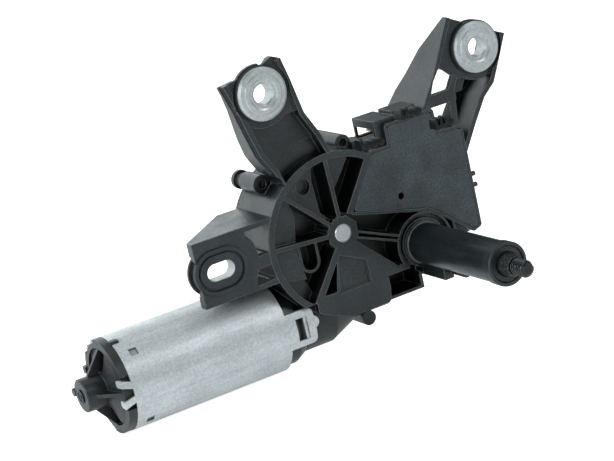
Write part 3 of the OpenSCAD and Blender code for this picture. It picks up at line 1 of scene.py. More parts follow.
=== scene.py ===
# %% [markdown]
# Rear wiper motor, dressed for its picture.
# The solids come from the CAD model as a fixed frame, already at their true size and place.
# This script gives every one of them a finish, models the fine pieces that the solids leave out,
# and sets up the camera, the floor and the lights.

# %% Load the frame
import json
import math

import bpy
from mathutils import Matrix, Vector


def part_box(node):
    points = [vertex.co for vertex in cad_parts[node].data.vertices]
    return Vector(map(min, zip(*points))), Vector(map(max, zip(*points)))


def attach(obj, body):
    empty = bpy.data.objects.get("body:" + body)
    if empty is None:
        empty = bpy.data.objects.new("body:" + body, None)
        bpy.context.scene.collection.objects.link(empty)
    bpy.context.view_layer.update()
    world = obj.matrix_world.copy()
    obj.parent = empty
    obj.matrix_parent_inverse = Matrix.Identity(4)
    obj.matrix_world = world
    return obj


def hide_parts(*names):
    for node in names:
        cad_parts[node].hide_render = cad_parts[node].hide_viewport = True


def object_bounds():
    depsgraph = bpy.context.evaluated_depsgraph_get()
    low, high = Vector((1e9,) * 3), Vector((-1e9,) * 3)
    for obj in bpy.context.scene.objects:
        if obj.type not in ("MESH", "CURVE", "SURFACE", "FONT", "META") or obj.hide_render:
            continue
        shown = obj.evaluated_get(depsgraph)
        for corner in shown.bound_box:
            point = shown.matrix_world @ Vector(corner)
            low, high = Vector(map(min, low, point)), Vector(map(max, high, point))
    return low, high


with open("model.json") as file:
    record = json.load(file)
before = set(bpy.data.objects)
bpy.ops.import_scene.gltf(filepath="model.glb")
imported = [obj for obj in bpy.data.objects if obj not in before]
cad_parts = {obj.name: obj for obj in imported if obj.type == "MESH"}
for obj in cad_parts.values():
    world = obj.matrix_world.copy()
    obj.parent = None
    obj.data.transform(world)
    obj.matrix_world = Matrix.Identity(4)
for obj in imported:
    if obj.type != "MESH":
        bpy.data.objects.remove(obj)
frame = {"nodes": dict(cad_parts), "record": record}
bpy.ops.object.select_all(action="DESELECT")
cad_low, cad_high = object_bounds()
nodes = frame["nodes"]
mm = 0.001
print("nodes", len(nodes), "size", [round(v / mm, 1) for v in cad_high - cad_low])

# %% [markdown]
# The camera stands where the photographer stood: in front, to the left and a little above, and
# turned about its own axis, so that the shaft points down to the right.
# Its right and up directions are written as unit vectors, and the third follows from them.

# %% Camera
camera_place = Vector((-0.4347, -0.7098, 0.2593))
camera_right = Vector((0.8559, -0.4710, -0.2134)).normalized()
camera_up = Vector((0.3081, 0.1330, 0.9420)).normalized()
camera_back = camera_right.cross(camera_up)
sensor_width_mm = 36
focal_length_mm = 114.3
nearest, farthest = 0.05, 20
middle = (cad_low + cad_high) / 2

camera = bpy.data.objects.new("camera", bpy.data.cameras.new("camera"))
bpy.context.scene.collection.objects.link(camera)
camera.matrix_world = Matrix.Translation(camera_place) @ Matrix(
    (camera_right, camera_up, camera_back)).transposed().to_4x4()
camera.data.sensor_width = sensor_width_mm
camera.data.lens = focal_length_mm
camera.data.clip_start = nearest
camera.data.clip_end = farthest
bpy.context.scene.camera = camera
print("camera is", round((camera_place - middle).length, 3), "m from the middle")

# %% [markdown]
# Every finish is a small node tree around one Principled shader, and these helpers keep the trees
# short. The first two add a node and start a material, whose patterns use the coordinates of the
# object itself and so stay on the piece. The next ones turn a pattern into a number or a colour.
# The last ones read the shape: relief softens edges with a Bevel node and lays bumps over them,
# one finds the edges, where the softened normal leans away from the face's own, to paint a
# highlight on them, and one finds pockets and corners with an Ambient Occlusion node, to paint
# shade into them.

# %% Node helpers
pattern_low, pattern_high = 0.3, 0.7
edge_samples, shade_samples = 4, 6
# Where the painted edge highlight starts and where it is full, and its tint.
plain_face_lean, highlit_edge_lean = 0.98, 0.75
# How closed in a place is where the painted shade is full, and where it ends.
closed_in, free = 0.30, 0.95
highlight_tint = (1.0, 1.04, 1.06)


def add(tree, kind, **inputs):
    """A new node with its inputs linked or set by name."""
    node = tree.nodes.new(kind)
    for name, value in inputs.items():
        socket = node.inputs[name.replace("_", " ")]
        if isinstance(value, bpy.types.NodeSocket):
            tree.links.new(value, socket)
        else:
            socket.default_value = value
    return node


def start(name, colour, roughness, metallic=0.0, level=0.5):
    """A material with one even finish, ready for patterns on the object's own coordinates."""
    material = bpy.data.materials.new(name)
    material.use_nodes = True
    tree = material.node_tree
    shader = tree.nodes["Principled BSDF"]
    shader.inputs["Base Color"].default_value = (*colour, 1)
    shader.inputs["Roughness"].default_value = roughness
    shader.inputs["Metallic"].default_value = metallic
    shader.inputs["Specular IOR Level"].default_value = level
    place = tree.nodes.new("ShaderNodeTexCoord").outputs["Object"]
    return material, tree, shader, place


def spread(tree, value, low, high):
    """A pattern stretched to run from low to high."""
    part = add(tree, "ShaderNodeMapRange", Value=value)
    part.inputs["From Min"].default_value = pattern_low
    part.inputs["From Max"].default_value = pattern_high
    part.inputs["To Min"].default_value = low
    part.inputs["To Max"].default_value = high
    return part.outputs["Result"]


def tint(tree, value, dark, light):
    """A pattern as a colour between two."""
    ramp = add(tree, "ShaderNodeValToRGB", Fac=value)
    ramp.color_ramp.elements[0].position = pattern_low
    ramp.color_ramp.elements[1].position = pattern_high
    ramp.color_ramp.elements[0].color = (*dark, 1)
    ramp.color_ramp.elements[1].color = (*light, 1)
    return ramp.outputs["Color"]


def arith(tree, operation, *values):
    """One Math node on sockets or numbers."""
    node = tree.nodes.new("ShaderNodeMath")
    node.operation = operation
    for socket, value in zip(node.inputs, values):
        if isinstance(value, bpy.types.NodeSocket):
            tree.links.new(value, socket)
        else:
            socket.default_value = value
    return node.outputs[0]


def mean(tree, first, second):
    """Two patterns laid over each other, half and half."""
    return arith(tree, "MULTIPLY", arith(tree, "ADD", first, second), 0.5)


def scaled(tree, colour, share):
    """A colour made lighter or darker by a share that varies over the surface."""
    node = tree.nodes.new("ShaderNodeVectorMath")
    node.operation = "SCALE"
    tree.links.new(colour, node.inputs[0])
    tree.links.new(share, node.inputs["Scale"])
    return node.outputs["Vector"]


def lightened(tree, colour, share, grey):
    """A colour with some grey added where the share is high, which paints a highlight on an edge.
    """
    node = tree.nodes.new("ShaderNodeVectorMath")
    node.operation = "MULTIPLY_ADD"
    tree.links.new(share, node.inputs[0])
    node.inputs[1].default_value = [grey * v for v in highlight_tint]
    tree.links.new(colour, node.inputs[2])
    return node.outputs["Vector"]


def noise(tree, place, scale, detail=3.0, stretch=None):
    if stretch:
        place = add(tree, "ShaderNodeMapping", Vector=place, Scale=stretch).outputs["Vector"]
    return add(tree, "ShaderNodeTexNoise", Vector=place, Scale=scale, Detail=detail).outputs["Fac"]


def relief(tree, shader, height, depth_mm, edge_mm=0.0):
    """Bumps of a given depth, over edges softened by a small radius.

    Gives the softened normal without the bumps, or None where the edges stay sharp.
    """
    bump = add(tree, "ShaderNodeBump", Height=height, Distance=depth_mm * mm, Strength=1.0)
    tree.links.new(bump.outputs["Normal"], shader.inputs["Normal"])
    if not edge_mm:
        return None
    edge = add(tree, "ShaderNodeBevel", Radius=edge_mm * mm)
    edge.samples = edge_samples
    tree.links.new(edge.outputs["Normal"], bump.inputs["Normal"])
    return edge.outputs["Normal"]


def painted_edge_share(tree, soft_normal):
    """Where the painted edge highlight goes: 0 on a flat face, rising to 1 on an edge."""
    face = tree.nodes.new("ShaderNodeNewGeometry").outputs["Normal"]
    lean = tree.nodes.new("ShaderNodeVectorMath")
    lean.operation = "DOT_PRODUCT"
    tree.links.new(face, lean.inputs[0])
    tree.links.new(soft_normal, lean.inputs[1])
    edge = add(tree, "ShaderNodeMapRange", Value=lean.outputs["Value"])
    edge.inputs["From Min"].default_value = plain_face_lean
    edge.inputs["From Max"].default_value = highlit_edge_lean
    return edge.outputs["Result"]


def painted_shade_share(tree, reach_mm, low):
    """Painted shade: 1 on a free face, down to low in a corner or a pocket that is narrow against
    the reach.
    """
    around = add(tree, "ShaderNodeAmbientOcclusion", Distance=reach_mm * mm)
    around.samples = shade_samples
    share = add(tree, "ShaderNodeMapRange", Value=around.outputs["AO"])
    share.inputs["From Min"].default_value = closed_in
    share.inputs["From Max"].default_value = free
    share.inputs["To Min"].default_value = low
    share.inputs["To Max"].default_value = 1.0
    return share.outputs["Result"]


def shades(colour, share):
    """A colour's darker and lighter neighbour."""
    return [v * (1 - share) for v in colour], [v * (1 + share) for v in colour]


# %% [markdown]
# The housing is glass-filled nylon. It is nearly black, but its skin scatters light: short glass
# fibres lie just under it and cloud it, and the mould's spark-eroded steel leaves a fine grain.
# So the finish has cloudy patches of about a centimetre, fibres of a millimetre in colour and
# gloss, and a grain of just under a millimetre in the bumps. Edges are softened, because a mould
# never gives a sharp one, and a painted highlight makes them a little lighter. Deep pockets get
# next to no colour of their own: the colour is darkened there, which is painted shade.
# Each plastic differs in its colour, gloss and grain; the ones inside the motor stay plain.

# %% Moulded plastics
cloud_mm = 12
fibre_mm = 1.0
# How far a pocket reaches for the painted shade.
pocket_shade_reach_mm = 20
plastic_gloss_range = 0.09


def moulded(name, colour, roughness, grain_mm=0.5, grain_depth_mm=0.012, cloud=0.38,
            edge_mm=0.55, level=0.5, painted_shade_low=1.0, speckle=0.0, edge_light=0.0):
    material, tree, shader, place = start(name, colour, roughness, level=level)
    clouds = noise(tree, place, 1 / (cloud_mm * mm), 6.0)
    grain = noise(tree, place, 1 / (grain_mm * mm), 2.0)
    fibres = noise(tree, place, 1 / (fibre_mm * mm), 4.0)
    gloss = spread(tree, mean(tree, clouds, fibres),
                   roughness + plastic_gloss_range, roughness - plastic_gloss_range)
    tree.links.new(gloss, shader.inputs["Roughness"])
    soft_normal = relief(tree, shader, grain, grain_depth_mm, edge_mm)
    skin = tint(tree, clouds, *shades(colour, cloud))
    share = spread(tree, fibres, 1 - speckle, 1 + speckle)
    # Painted shade: the colour is darkened in pockets and corners.
    if painted_shade_low < 1:
        share = arith(tree, "MULTIPLY", share, painted_shade_share(tree, pocket_shade_reach_mm, painted_shade_low))
    skin = scaled(tree, skin, share)
    # Painted highlight: the colour is lightened on the edges.
    if edge_light:
        skin = lightened(tree, skin, painted_edge_share(tree, soft_normal), edge_light)
    tree.links.new(skin, shader.inputs["Base Color"])
    return material


finish = {}
# The housing's plastics get painted shade in their pockets and a painted highlight on their edges.
finish["case_plastic"] = moulded(
    "case_plastic", (0.011, 0.015, 0.017), 0.36, grain_mm=0.9, grain_depth_mm=0.07,
    edge_mm=0.8, painted_shade_low=0.03, speckle=0.6, edge_light=0.17)
finish["lid_plastic"] = moulded(
    "lid_plastic", (0.037, 0.048, 0.052), 0.50, grain_mm=0.8, grain_depth_mm=0.06, cloud=0.3,
    edge_mm=0.5, painted_shade_low=0.4, speckle=0.45, edge_light=0.16)
finish["cover_plastic"] = moulded(
    "cover_plastic", (0.016, 0.020, 0.022), 0.42, grain_mm=0.9, grain_depth_mm=0.05,
    painted_shade_low=0.1, speckle=0.4, edge_light=0.08)
finish["cap_plastic"] = moulded(
    "cap_plastic", (0.018, 0.022, 0.024), 0.42, grain_mm=0.9, grain_depth_mm=0.04,
    painted_shade_low=0.05, speckle=0.4, edge_light=0.08)
finish["catch_plastic"] = moulded(
    "catch_plastic", (0.005, 0.006, 0.007), 0.42, edge_mm=0.4, level=0.25, painted_shade_low=0.1, edge_light=0.05)
finish["relay_plastic"] = moulded("relay_plastic", (0.62, 0.62, 0.58), 0.45, edge_mm=0.0)
finish["wheel_plastic"] = moulded("wheel_plastic", (0.72, 0.70, 0.62), 0.40, edge_mm=0.0)
finish["board"] = moulded("board", (0.020, 0.130, 0.060), 0.40, grain_mm=0.8, edge_mm=0.0)
print("plastics", len(finish))

# %% [markdown]
# Rubber is duller than the plastic beside it, with a dusty bloom that comes out of the compound
# in patches. The grommets get that bloom, and the shaft seal the same mix, only darker. The two
# pressed powders in the motor, the magnets' ferrite and the brushes' carbon, are just as matt and
# patchy, so they use it too.

# %% Rubbers and pressed powders
bloom_mm = 6
rubber_grain_mm = 0.35


def rubber(name, colour, roughness):
    material, tree, shader, place = start(name, colour, roughness, level=0.35)
    bloom = noise(tree, place, 1 / (bloom_mm * mm), 6.0)
    grain = noise(tree, place, 1 / (rubber_grain_mm * mm), 2.0)
    tree.links.new(tint(tree, bloom, *shades(colour, 0.35)), shader.inputs["Base Color"])
    dusted = spread(tree, bloom, roughness - 0.05, roughness + 0.1)
    tree.links.new(dusted, shader.inputs["Roughness"])
    relief(tree, shader, grain, 0.01, edge_mm=0.3)
    return material


finish["grommet_rubber"] = rubber("grommet_rubber", (0.028, 0.034, 0.036), 0.42)
finish["seal_rubber"] = rubber("seal_rubber", (0.011, 0.011, 0.012), 0.40)
finish["magnet_ferrite"] = rubber("magnet_ferrite", (0.045, 0.045, 0.048), 0.70)
finish["carbon"] = rubber("carbon", (0.030, 0.030, 0.032), 0.60)
print("with rubbers and powders", len(finish))

# %% [markdown]
# The motor's can is deep-drawn from zinc-coated sheet. Drawing pulls the zinc's spangle into
# faint streaks along the can, and handling dulls it in patches, so the streaks are a noise that
# is stretched along the motor's axis, and the patches another one over them. A fine mottle on
# top breaks up what is left. The other metals use the same mix: the laminated core and the
# windings pack their streaks tightly along the axis instead of stretching them.

# %% Metals
patch_mm = 14
mottle_mm = 1.1
# How far a crevice reaches for the painted shade.
crevice_shade_reach_mm = 3
metal_gloss_range = 0.07


def metal(name, colour, roughness, streak=(1, 1, 1), streak_mm=2.0, share=0.12,
          depth_mm=0.004, edge_mm=0.2, metallic=1.0, mottle=0.06, edge_light=0.0, painted_shade_low=1.0):
    material, tree, shader, place = start(name, colour, roughness, metallic)
    streaks = noise(tree, place, 1 / (streak_mm * mm), 4.0, streak)
    patches = noise(tree, place, 1 / (patch_mm * mm), 4.0)
    mixed = mean(tree, streaks, patches)
    gloss = spread(tree, mixed, roughness + metal_gloss_range, roughness - metal_gloss_range)
    tree.links.new(gloss, shader.inputs["Roughness"])
    soft_normal = relief(tree, shader, streaks, depth_mm, edge_mm)
    spots = noise(tree, place, 1 / (mottle_mm * mm), 3.0)
    brightness = spread(tree, spots, 1 - mottle, 1 + mottle)
    # Painted shade: the colour is darkened in narrow crevices.
    if painted_shade_low < 1:
        painted_crevice_shade = painted_shade_share(tree, crevice_shade_reach_mm, painted_shade_low)
        brightness = arith(tree, "MULTIPLY", brightness, painted_crevice_shade)
    skin = scaled(tree, tint(tree, mixed, *shades(colour, share)), brightness)
    # Painted highlight: the colour is lightened on the edges.
    if edge_light:
        skin = lightened(tree, skin, painted_edge_share(tree, soft_normal), edge_light)
    tree.links.new(skin, shader.inputs["Base Color"])
    return material


along_motor = (0.06, 1, 1)
laminated = (14, 1, 1)
wound = (12, 1, 1)
# The can's colour gets painted shade in its crevices.
finish["can_steel"] = metal(
    "can_steel", (0.60, 0.62, 0.63), 0.46, along_motor, streak_mm=1.6, share=0.14,
    depth_mm=0.01, edge_mm=0.25, metallic=0.45, mottle=0.14, painted_shade_low=0.2)
finish["sleeve_metal"] = metal(
    "sleeve_metal", (0.48, 0.50, 0.50), 0.40, metallic=0.6, mottle=0.12)
# The dark steel's edges get a painted highlight.
finish["dark_steel"] = metal(
    "dark_steel", (0.022, 0.023, 0.025), 0.34, share=0.25, edge_mm=0.22, metallic=0.6, edge_light=0.30)
finish["bright_steel"] = metal("bright_steel", (0.78, 0.78, 0.79), 0.30, share=0.05)
finish["plain_steel"] = metal("plain_steel", (0.52, 0.52, 0.53), 0.35)
finish["screw_steel"] = metal("screw_steel", (0.40, 0.40, 0.42), 0.36)
finish["core_steel"] = metal("core_steel", (0.30, 0.30, 0.31), 0.5, laminated, share=0.3)
finish["bush_bronze"] = metal(
    "bush_bronze", (0.50, 0.34, 0.17), 0.45, streak_mm=0.4, share=0.25)
finish["contact_brass"] = metal("contact_brass", (0.72, 0.55, 0.25), 0.30)
finish["winding_copper"] = metal(
    "winding_copper", (0.55, 0.24, 0.09), 0.35, wound, streak_mm=1.0, share=0.35)
print("with metals", len(finish))

# %% [markdown]
# The CAD record names a material slot for each solid, and the finishes have the names of the
# slots. So a loop takes each solid's plain import material off and puts its finish on, without
# touching the mesh. It prints a slot that has no finish, so that none is forgotten.

# %% Give each solid its finish
slot_of = {part["node"]: part["material_slot"] for part in frame["record"]["subparts"]}
for name, solid in nodes.items():
    solid.data.materials.clear()
    solid.data.materials.append(finish[slot_of[name]])
missing = sorted(set(slot_of.values()) - set(finish))
print("finishes", len(finish), "missing", missing)

# %% [markdown]
# The axle's end in the middle of the hub was faced on a lathe, and the tool left fine rings round
# its centre. A Mapping node puts the middle of a ring pattern on the axle, and the rings go into
# the colour and the bumps. Only this one solid gets it, so it has a finish of its own.

# %% Turned end of the axle
axle_low, axle_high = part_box("wheel_axle")
axle_middle = (axle_low + axle_high) / 2
wave_period = 0.314  # the width of one ring of the Wave texture at scale 1


def turned_face(name, colour, roughness, middle_of, ring_mm):
    material, tree, shader, place = start(name, colour, roughness, 0.8)
    centred = add(tree, "ShaderNodeMapping", Vector=place, Location=-middle_of)
    rings = tree.nodes.new("ShaderNodeTexWave")
    rings.wave_type = "RINGS"
    rings.rings_direction = "Y"
    rings.inputs["Scale"].default_value = wave_period / (ring_mm * mm)
    rings.inputs["Distortion"].default_value = 0.6
    tree.links.new(centred.outputs["Vector"], rings.inputs["Vector"])
    ringed = tint(tree, rings.outputs["Fac"], *shades(colour, 0.28))
    tree.links.new(ringed, shader.inputs["Base Color"])
    relief(tree, shader, rings.outputs["Fac"], 0.02, edge_mm=0.3)
    return material


nodes["wheel_axle"].data.materials[0] = turned_face(
    "turned_steel", (0.50, 0.51, 0.52), 0.40, axle_middle, ring_mm=0.9)
print("axle end at", [round(v / mm, 1) for v in axle_middle])

# %% [markdown]
# The new pieces start as a primitive and are shaped in edit mode. These helpers do what a hand
# does there: pick faces, edges or points by where they lie, pull a round section along the
# shaft's direction ring by ring, and put the finished piece on its body with its finish.

# %% Modelling helpers
def pick(piece, test, kind="VERT"):
    """Selects, in edit mode, the points, edges or faces whose middle passes the test."""
    bpy.ops.mesh.select_mode(type=kind)
    bpy.ops.mesh.select_all(action="DESELECT")
    bpy.ops.object.mode_set(mode="OBJECT")
    mesh = piece.data
    places = [vertex.co for vertex in mesh.vertices]
    parts = {"VERT": mesh.vertices, "EDGE": mesh.edges, "FACE": mesh.polygons}[kind]
    for part in parts:
        corners = [part.index] if kind == "VERT" else part.vertices
        middle_of = sum((places[i] for i in corners), Vector()) / len(corners)
        part.select = test(piece.matrix_world @ middle_of)
    bpy.ops.object.mode_set(mode="EDIT")


def finished(piece, name, body, slot, smooth=30.0, look=None):
    """Names a piece, turns its faces outwards, smooths it, and puts it on its body."""
    if piece.mode == "OBJECT":
        bpy.ops.object.mode_set(mode="EDIT")
    bpy.ops.mesh.select_all(action="SELECT")
    bpy.ops.mesh.normals_make_consistent(inside=False)
    bpy.ops.object.mode_set(mode="OBJECT")
    bpy.ops.object.transform_apply(location=True, rotation=True, scale=True)
    bpy.ops.object.shade_smooth_by_angle(angle=math.radians(smooth))
    piece.name = name
    piece.data.materials.clear()
    piece.data.materials.append(finish[look or slot])
    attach(piece, body)
    piece.select_set(False)
    return piece


def turned(rings, x=0.0, z=0.0, sides=48):
    """A turned body along Y, pulled from ring to ring; each ring is (y, radius).

    Its origin is in the middle of the first ring.
    """
    y, radius = rings[0]
    bpy.ops.mesh.primitive_circle_add(
        vertices=sides, radius=radius, fill_type="NGON", location=(x, y, z),
        rotation=(math.pi / 2, 0, 0))
    piece = bpy.context.object
    bpy.ops.object.transform_apply(location=False, rotation=True, scale=False)
    bpy.ops.object.mode_set(mode="EDIT")
    for next_y, next_radius in rings[1:]:
        bpy.ops.mesh.extrude_region_move(TRANSFORM_OT_translate={"value": (0, next_y - y, 0)})
        ratio = next_radius / radius
        bpy.ops.transform.resize(value=(ratio, 1, ratio), center_override=(x, next_y, z))
        y, radius = next_y, next_radius
    bpy.ops.object.mode_set(mode="OBJECT")
    return piece


# %% [markdown]
# The output shaft ends in a fine-toothed cone, which bites into the wiper arm, and a thread for
# the arm's nut. The solid has both as plain turned shapes. Here the shaft is pulled ring by ring
# from its back end, with two small steps that round the cone's back edge, and every other point
# of the cone is drawn in to cut the teeth.

# %% Output shaft
shaft_low, shaft_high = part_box("output_shaft")
shaft_r = (shaft_high.x - shaft_low.x) / 2
thread_r = 3.95 * mm
thread_core_r = 3.25 * mm
cone_tip_r = 4.7 * mm
cone_back = 7.0 * mm
cone_chamfer = 0.7 * mm
chamfer = 0.8 * mm
tooth_count = 36
tooth_depth = 0.09
tooth_front, tooth_back = 0.5 * mm, cone_back - 1.0 * mm

shaft = turned([
    (shaft_high.y, shaft_r), (cone_back, shaft_r), (cone_back - 0.5 * mm, shaft_r * 0.99),
    (cone_back - 1.1 * mm, shaft_r * 0.965), (cone_chamfer, cone_tip_r * 1.015),
    (0, cone_tip_r * 0.94), (0, thread_core_r), (shaft_low.y + chamfer, thread_core_r),
    (shaft_low.y, thread_core_r - chamfer),
], sides=2 * tooth_count)
bpy.ops.object.mode_set(mode="EDIT")


def between_teeth(place):
    turn = math.atan2(place.z, place.x) / (math.pi / tooth_count)
    return tooth_front < place.y < tooth_back and round(turn) % 2 == 1


pick(shaft, between_teeth)
bpy.ops.transform.resize(value=(1 - tooth_depth, 1, 1 - tooth_depth), center_override=(0, 0, 0))
bpy.ops.object.mode_set(mode="OBJECT")
print("shaft with", tooth_count, "teeth")

# %% [markdown]
# A thread is a ridge wound round a core. The ridge starts as a small plane across the core's
# edge, sunk a little into it, and its outer side is squeezed to make the crest. A Screw modifier
# winds that outline along the tip, and the two ends are filled. Joined to the shaft, it stands
# for the solid, which then isn't shown.

# %% Thread on the shaft's tip
pitch = 1.25 * mm
turns = 6
ridge_w = 0.9 * pitch
ridge_middle = (thread_core_r + thread_r) / 2
sunk = 0.1 * mm
run_in = 0.6 * mm
crest_share = 0.18
steps_a_turn = 28

bpy.ops.object.select_all(action="DESELECT")
bpy.ops.mesh.primitive_plane_add(
    size=1, location=(ridge_middle - sunk, shaft_low.y + chamfer + run_in, 0))
thread = bpy.context.object
thread.scale = (thread_r - thread_core_r + 2 * sunk, ridge_w, 1)
bpy.ops.object.transform_apply(location=True, rotation=True, scale=True)
bpy.ops.object.mode_set(mode="EDIT")
pick(thread, lambda place: place.x > ridge_middle)
bpy.ops.transform.resize(value=(1, crest_share, 1))
bpy.ops.mesh.select_all(action="SELECT")
bpy.ops.mesh.delete(type="ONLY_FACE")
bpy.ops.object.mode_set(mode="OBJECT")
winding = thread.modifiers.new("winding", "SCREW")
winding.axis = "Y"
winding.angle = 2 * math.pi
winding.screw_offset = pitch
winding.iterations = turns
winding.steps = steps_a_turn
winding.render_steps = steps_a_turn
bpy.ops.object.modifier_apply(modifier="winding")
bpy.ops.object.mode_set(mode="EDIT")
bpy.ops.mesh.select_all(action="SELECT")
bpy.ops.mesh.fill_holes(sides=4)
bpy.ops.object.mode_set(mode="OBJECT")
shaft.select_set(True)
bpy.context.view_layer.objects.active = shaft
bpy.ops.object.join()
finished(shaft, "threaded_shaft", "output_shaft", "dark_steel", 40.0)
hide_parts("output_shaft")
print("shaft", len(shaft.data.polygons), "faces, thread", turns, "turns")

# %% [markdown]
# Snap catches for the cover and the plug's socket show over the top edge of the case. Each is a
# short comb of springy fins beside round knuckles. The comb starts as a block that is cut by
# planes into strips, every other strip's top is pulled up and its rim bevelled. The knuckles are
# turned from rings. The three catches differ in how many fins and knuckles they have. Only these
# ends that the picture shows are made, so seen from behind the catches stand free of the case.

# %% Snap catches
strip_w = 1.3 * mm
comb_depth = 6 * mm
comb_base = 1.6 * mm
comb_setback = 0.6 * mm
fin_height = 3.4 * mm
fin_round = 0.5 * mm
knuckle_r = 2.0 * mm
knuckle_length = 7 * mm
knuckle_gap = 1.6 * mm
knuckle_step = 3.7 * mm
dome = 0.9 * mm
tiny = 0.01 * mm


def comb(low, size, fins):
    """A block with its low corner at low, with fins standing across its width."""
    bpy.ops.object.select_all(action="DESELECT")
    bpy.ops.mesh.primitive_cube_add(size=1, location=[a + b / 2 for a, b in zip(low, size)])
    piece = bpy.context.object
    piece.scale = size
    bpy.ops.object.transform_apply(location=True, rotation=True, scale=True)
    bpy.ops.object.mode_set(mode="EDIT")
    strips = 2 * fins - 1
    for i in range(1, strips):
        bpy.ops.mesh.select_all(action="SELECT")
        cut = low[0] + size[0] * i / strips
        bpy.ops.mesh.bisect(plane_co=(cut, 0, 0), plane_no=(1, 0, 0))
    top = low[2] + size[2]

    def on_fin(place):
        return place.z > top - tiny and int((place.x - low[0]) / size[0] * strips) % 2 == 0

    pick(piece, on_fin, "FACE")
    bpy.ops.mesh.extrude_region_move(TRANSFORM_OT_translate={"value": (0, 0, fin_height)})
    bpy.ops.mesh.bevel(offset=fin_round, segments=2, affect="EDGES")
    bpy.ops.object.mode_set(mode="OBJECT")
    return piece


def knuckle(x, z, front):
    """A round peg with a domed front end."""
    return turned([
        (front + knuckle_length, knuckle_r), (front + dome, knuckle_r),
        (front + 0.3 * dome, 0.85 * knuckle_r), (front, 0.5 * knuckle_r)], x, z, sides=24)


def catch(name, corner, fins, knuckles):
    """A comb whose low front corner is at corner, with domed knuckles to its right."""
    x, y, z = corner
    width = (2 * fins - 1) * strip_w
    parts = [comb((x, y + comb_setback, z), (width, comb_depth, comb_base), fins)]
    for i in range(knuckles):
        parts.append(knuckle(x + width + knuckle_gap + knuckle_step * i, z + comb_base, y))
    bpy.ops.object.select_all(action="DESELECT")
    for part in parts:
        part.select_set(True)
    bpy.context.view_layer.objects.active = parts[0]
    bpy.ops.object.join()
    return finished(parts[0], name, "housing", "case_plastic", look="catch_plastic")


catches = [
    catch("catch_top", (-14.0 * mm, 49.0 * mm, 67.6 * mm), fins=2, knuckles=2),
    catch("catch_left", (-37.5 * mm, 48.5 * mm, 59.9 * mm), fins=1, knuckles=3),
    catch("catch_window", (2.8 * mm, 49.0 * mm, 58.0 * mm), fins=3, knuckles=1),
]
print("catches", [len(piece.data.polygons) for piece in catches])

# %% [markdown]
# The mould leaves a mark where the plastic flowed into the cap, in the middle of its nose: a low
# ring with a broken stub in it. It is turned from rings like the shaft, and then swung from Y to
# the motor's own direction before its place is applied.

# %% Gate mark on the nose
cap_low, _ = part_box("rear_cap")
rotor_low, rotor_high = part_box("armature_shaft")
mark_depth = 0.3 * mm
mark_height = 0.3 * mm
mark_floor = 0.05 * mm
mark_x = cap_low.x + 0.4 * mm
mark = turned([
    (mark_depth, 3.3 * mm), (-mark_height, 3.3 * mm), (-mark_height, 2.5 * mm),
    (-mark_floor, 2.3 * mm), (-mark_floor, 1.1 * mm), (-mark_height, 0.9 * mm)], sides=32)
mark.rotation_euler.z = -math.pi / 2
mark.location = (mark_x, (rotor_low.y + rotor_high.y) / 2, (rotor_low.z + rotor_high.z) / 2)
finished(mark, "gate_mark", "housing", "cap_plastic", look="catch_plastic")
print("gate mark at", [round(v / mm, 1) for v in mark.data.vertices[0].co])

# %% [markdown]
# The picture has a white ground. The floor is a plain matt sheet under the object. To the camera
# it glows, so that it shows white but keeps the shadow. In reflections it glows about half as
# much and a little cool, which is the pale sheen on the front faces. To everything else it is
# plain pale paper, so that no extra light falls on the object.

# %% Floor
daylight = (0.91, 0.98, 1.0)
white = (1, 1, 1)
paper = (0.86, 0.86, 0.86)
gloss_glow = 0.45
camera_glow = 0.9
floor_gap = 0.5 * mm
floor_size = 14


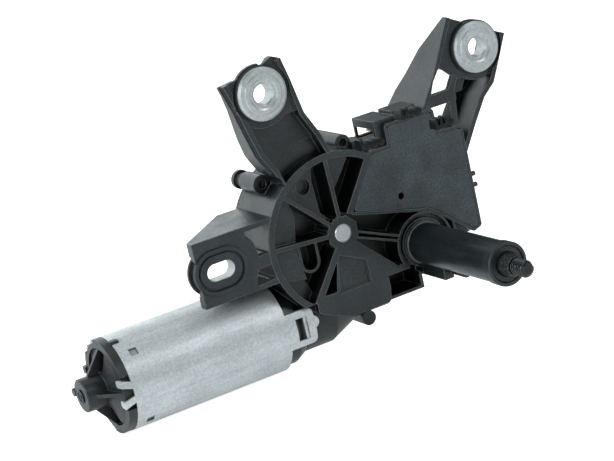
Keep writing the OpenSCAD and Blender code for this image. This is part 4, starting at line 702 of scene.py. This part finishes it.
def glow_floor():
    material, tree, shader, place = start("floor", paper, 0.9, level=0.1)
    grain = noise(tree, place, 1 / (3 * mm), 2.0)
    tree.links.new(spread(tree, grain, 0.88, 0.92), shader.inputs["Roughness"])
    paths = tree.nodes.new("ShaderNodeLightPath")
    total = shader.outputs[0]
    glows = (("Is Glossy Ray", gloss_glow, daylight), ("Is Camera Ray", camera_glow, white))
    for ray, strength, colour in glows:
        share = arith(tree, "MULTIPLY", paths.outputs[ray], strength)
        glow = add(tree, "ShaderNodeEmission", Strength=share, Color=(*colour, 1))
        both = tree.nodes.new("ShaderNodeAddShader")
        tree.links.new(total, both.inputs[0])
        tree.links.new(glow.outputs[0], both.inputs[1])
        total = both.outputs[0]
    tree.links.new(total, tree.nodes["Material Output"].inputs["Surface"])
    return material


bpy.ops.mesh.primitive_plane_add(size=floor_size, location=(0, 0, cad_low.z - floor_gap))
floor = bpy.context.object
floor.name = "floor"
floor.data.materials.append(glow_floor())
bpy.ops.object.transform_apply(location=True, rotation=True, scale=True)
floor.select_set(False)
print("floor at z", round((cad_low.z - floor_gap) / mm, 1))

# %% [markdown]
# Black plastic shows its shape by what it reflects, so the light comes from large soft panels.
# The broad one behind and above is what the flanks and upper walls mirror towards the camera, and
# the pale floor is what the front faces mirror. The ones at the left and in front light the
# motor's can. All are a little cool, as daylight tubes are, and the world fills in very weakly.

# %% Lights and world
world_strength = 0.08


def panel(name, place, size, power, height=None):
    """A soft panel at a place seen from the object's middle, facing it."""
    lamp = bpy.data.lights.new(name, "AREA")
    lamp.shape = "RECTANGLE"
    lamp.size = size
    lamp.size_y = height or size
    lamp.energy = power
    lamp.color = daylight
    holder = bpy.data.objects.new(name, lamp)
    bpy.context.scene.collection.objects.link(holder)
    holder.location = middle + Vector(place)
    holder.visible_camera = False
    holder.rotation_mode = "QUATERNION"
    holder.rotation_quaternion = Vector(place).to_track_quat("Z", "Y")


panel("left_panel", (-1.15, -0.15, 0.60), size=0.7, power=10)
panel("top_panel", (0.00, 0.20, 1.15), size=0.8, power=2.5)
panel("front_left_panel", (-0.85, -1.00, 0.40), size=0.4, power=3)
panel("front_right_panel", (0.70, -0.90, 0.80), size=0.6, power=6)
panel("right_panel", (1.10, -0.10, 0.45), size=0.6, power=1.0)
panel("back_panel", (-0.22, 1.12, 0.50), size=1.8, power=12, height=1.2)

world = bpy.data.worlds.new("studio")
bpy.context.scene.world = world
world.use_nodes = True
world.node_tree.nodes["Background"].inputs["Color"].default_value = (*daylight, 1)
world.node_tree.nodes["Background"].inputs["Strength"].default_value = world_strength
bpy.context.scene.view_settings.view_transform = "Standard"
print("lights", len(bpy.data.lights))
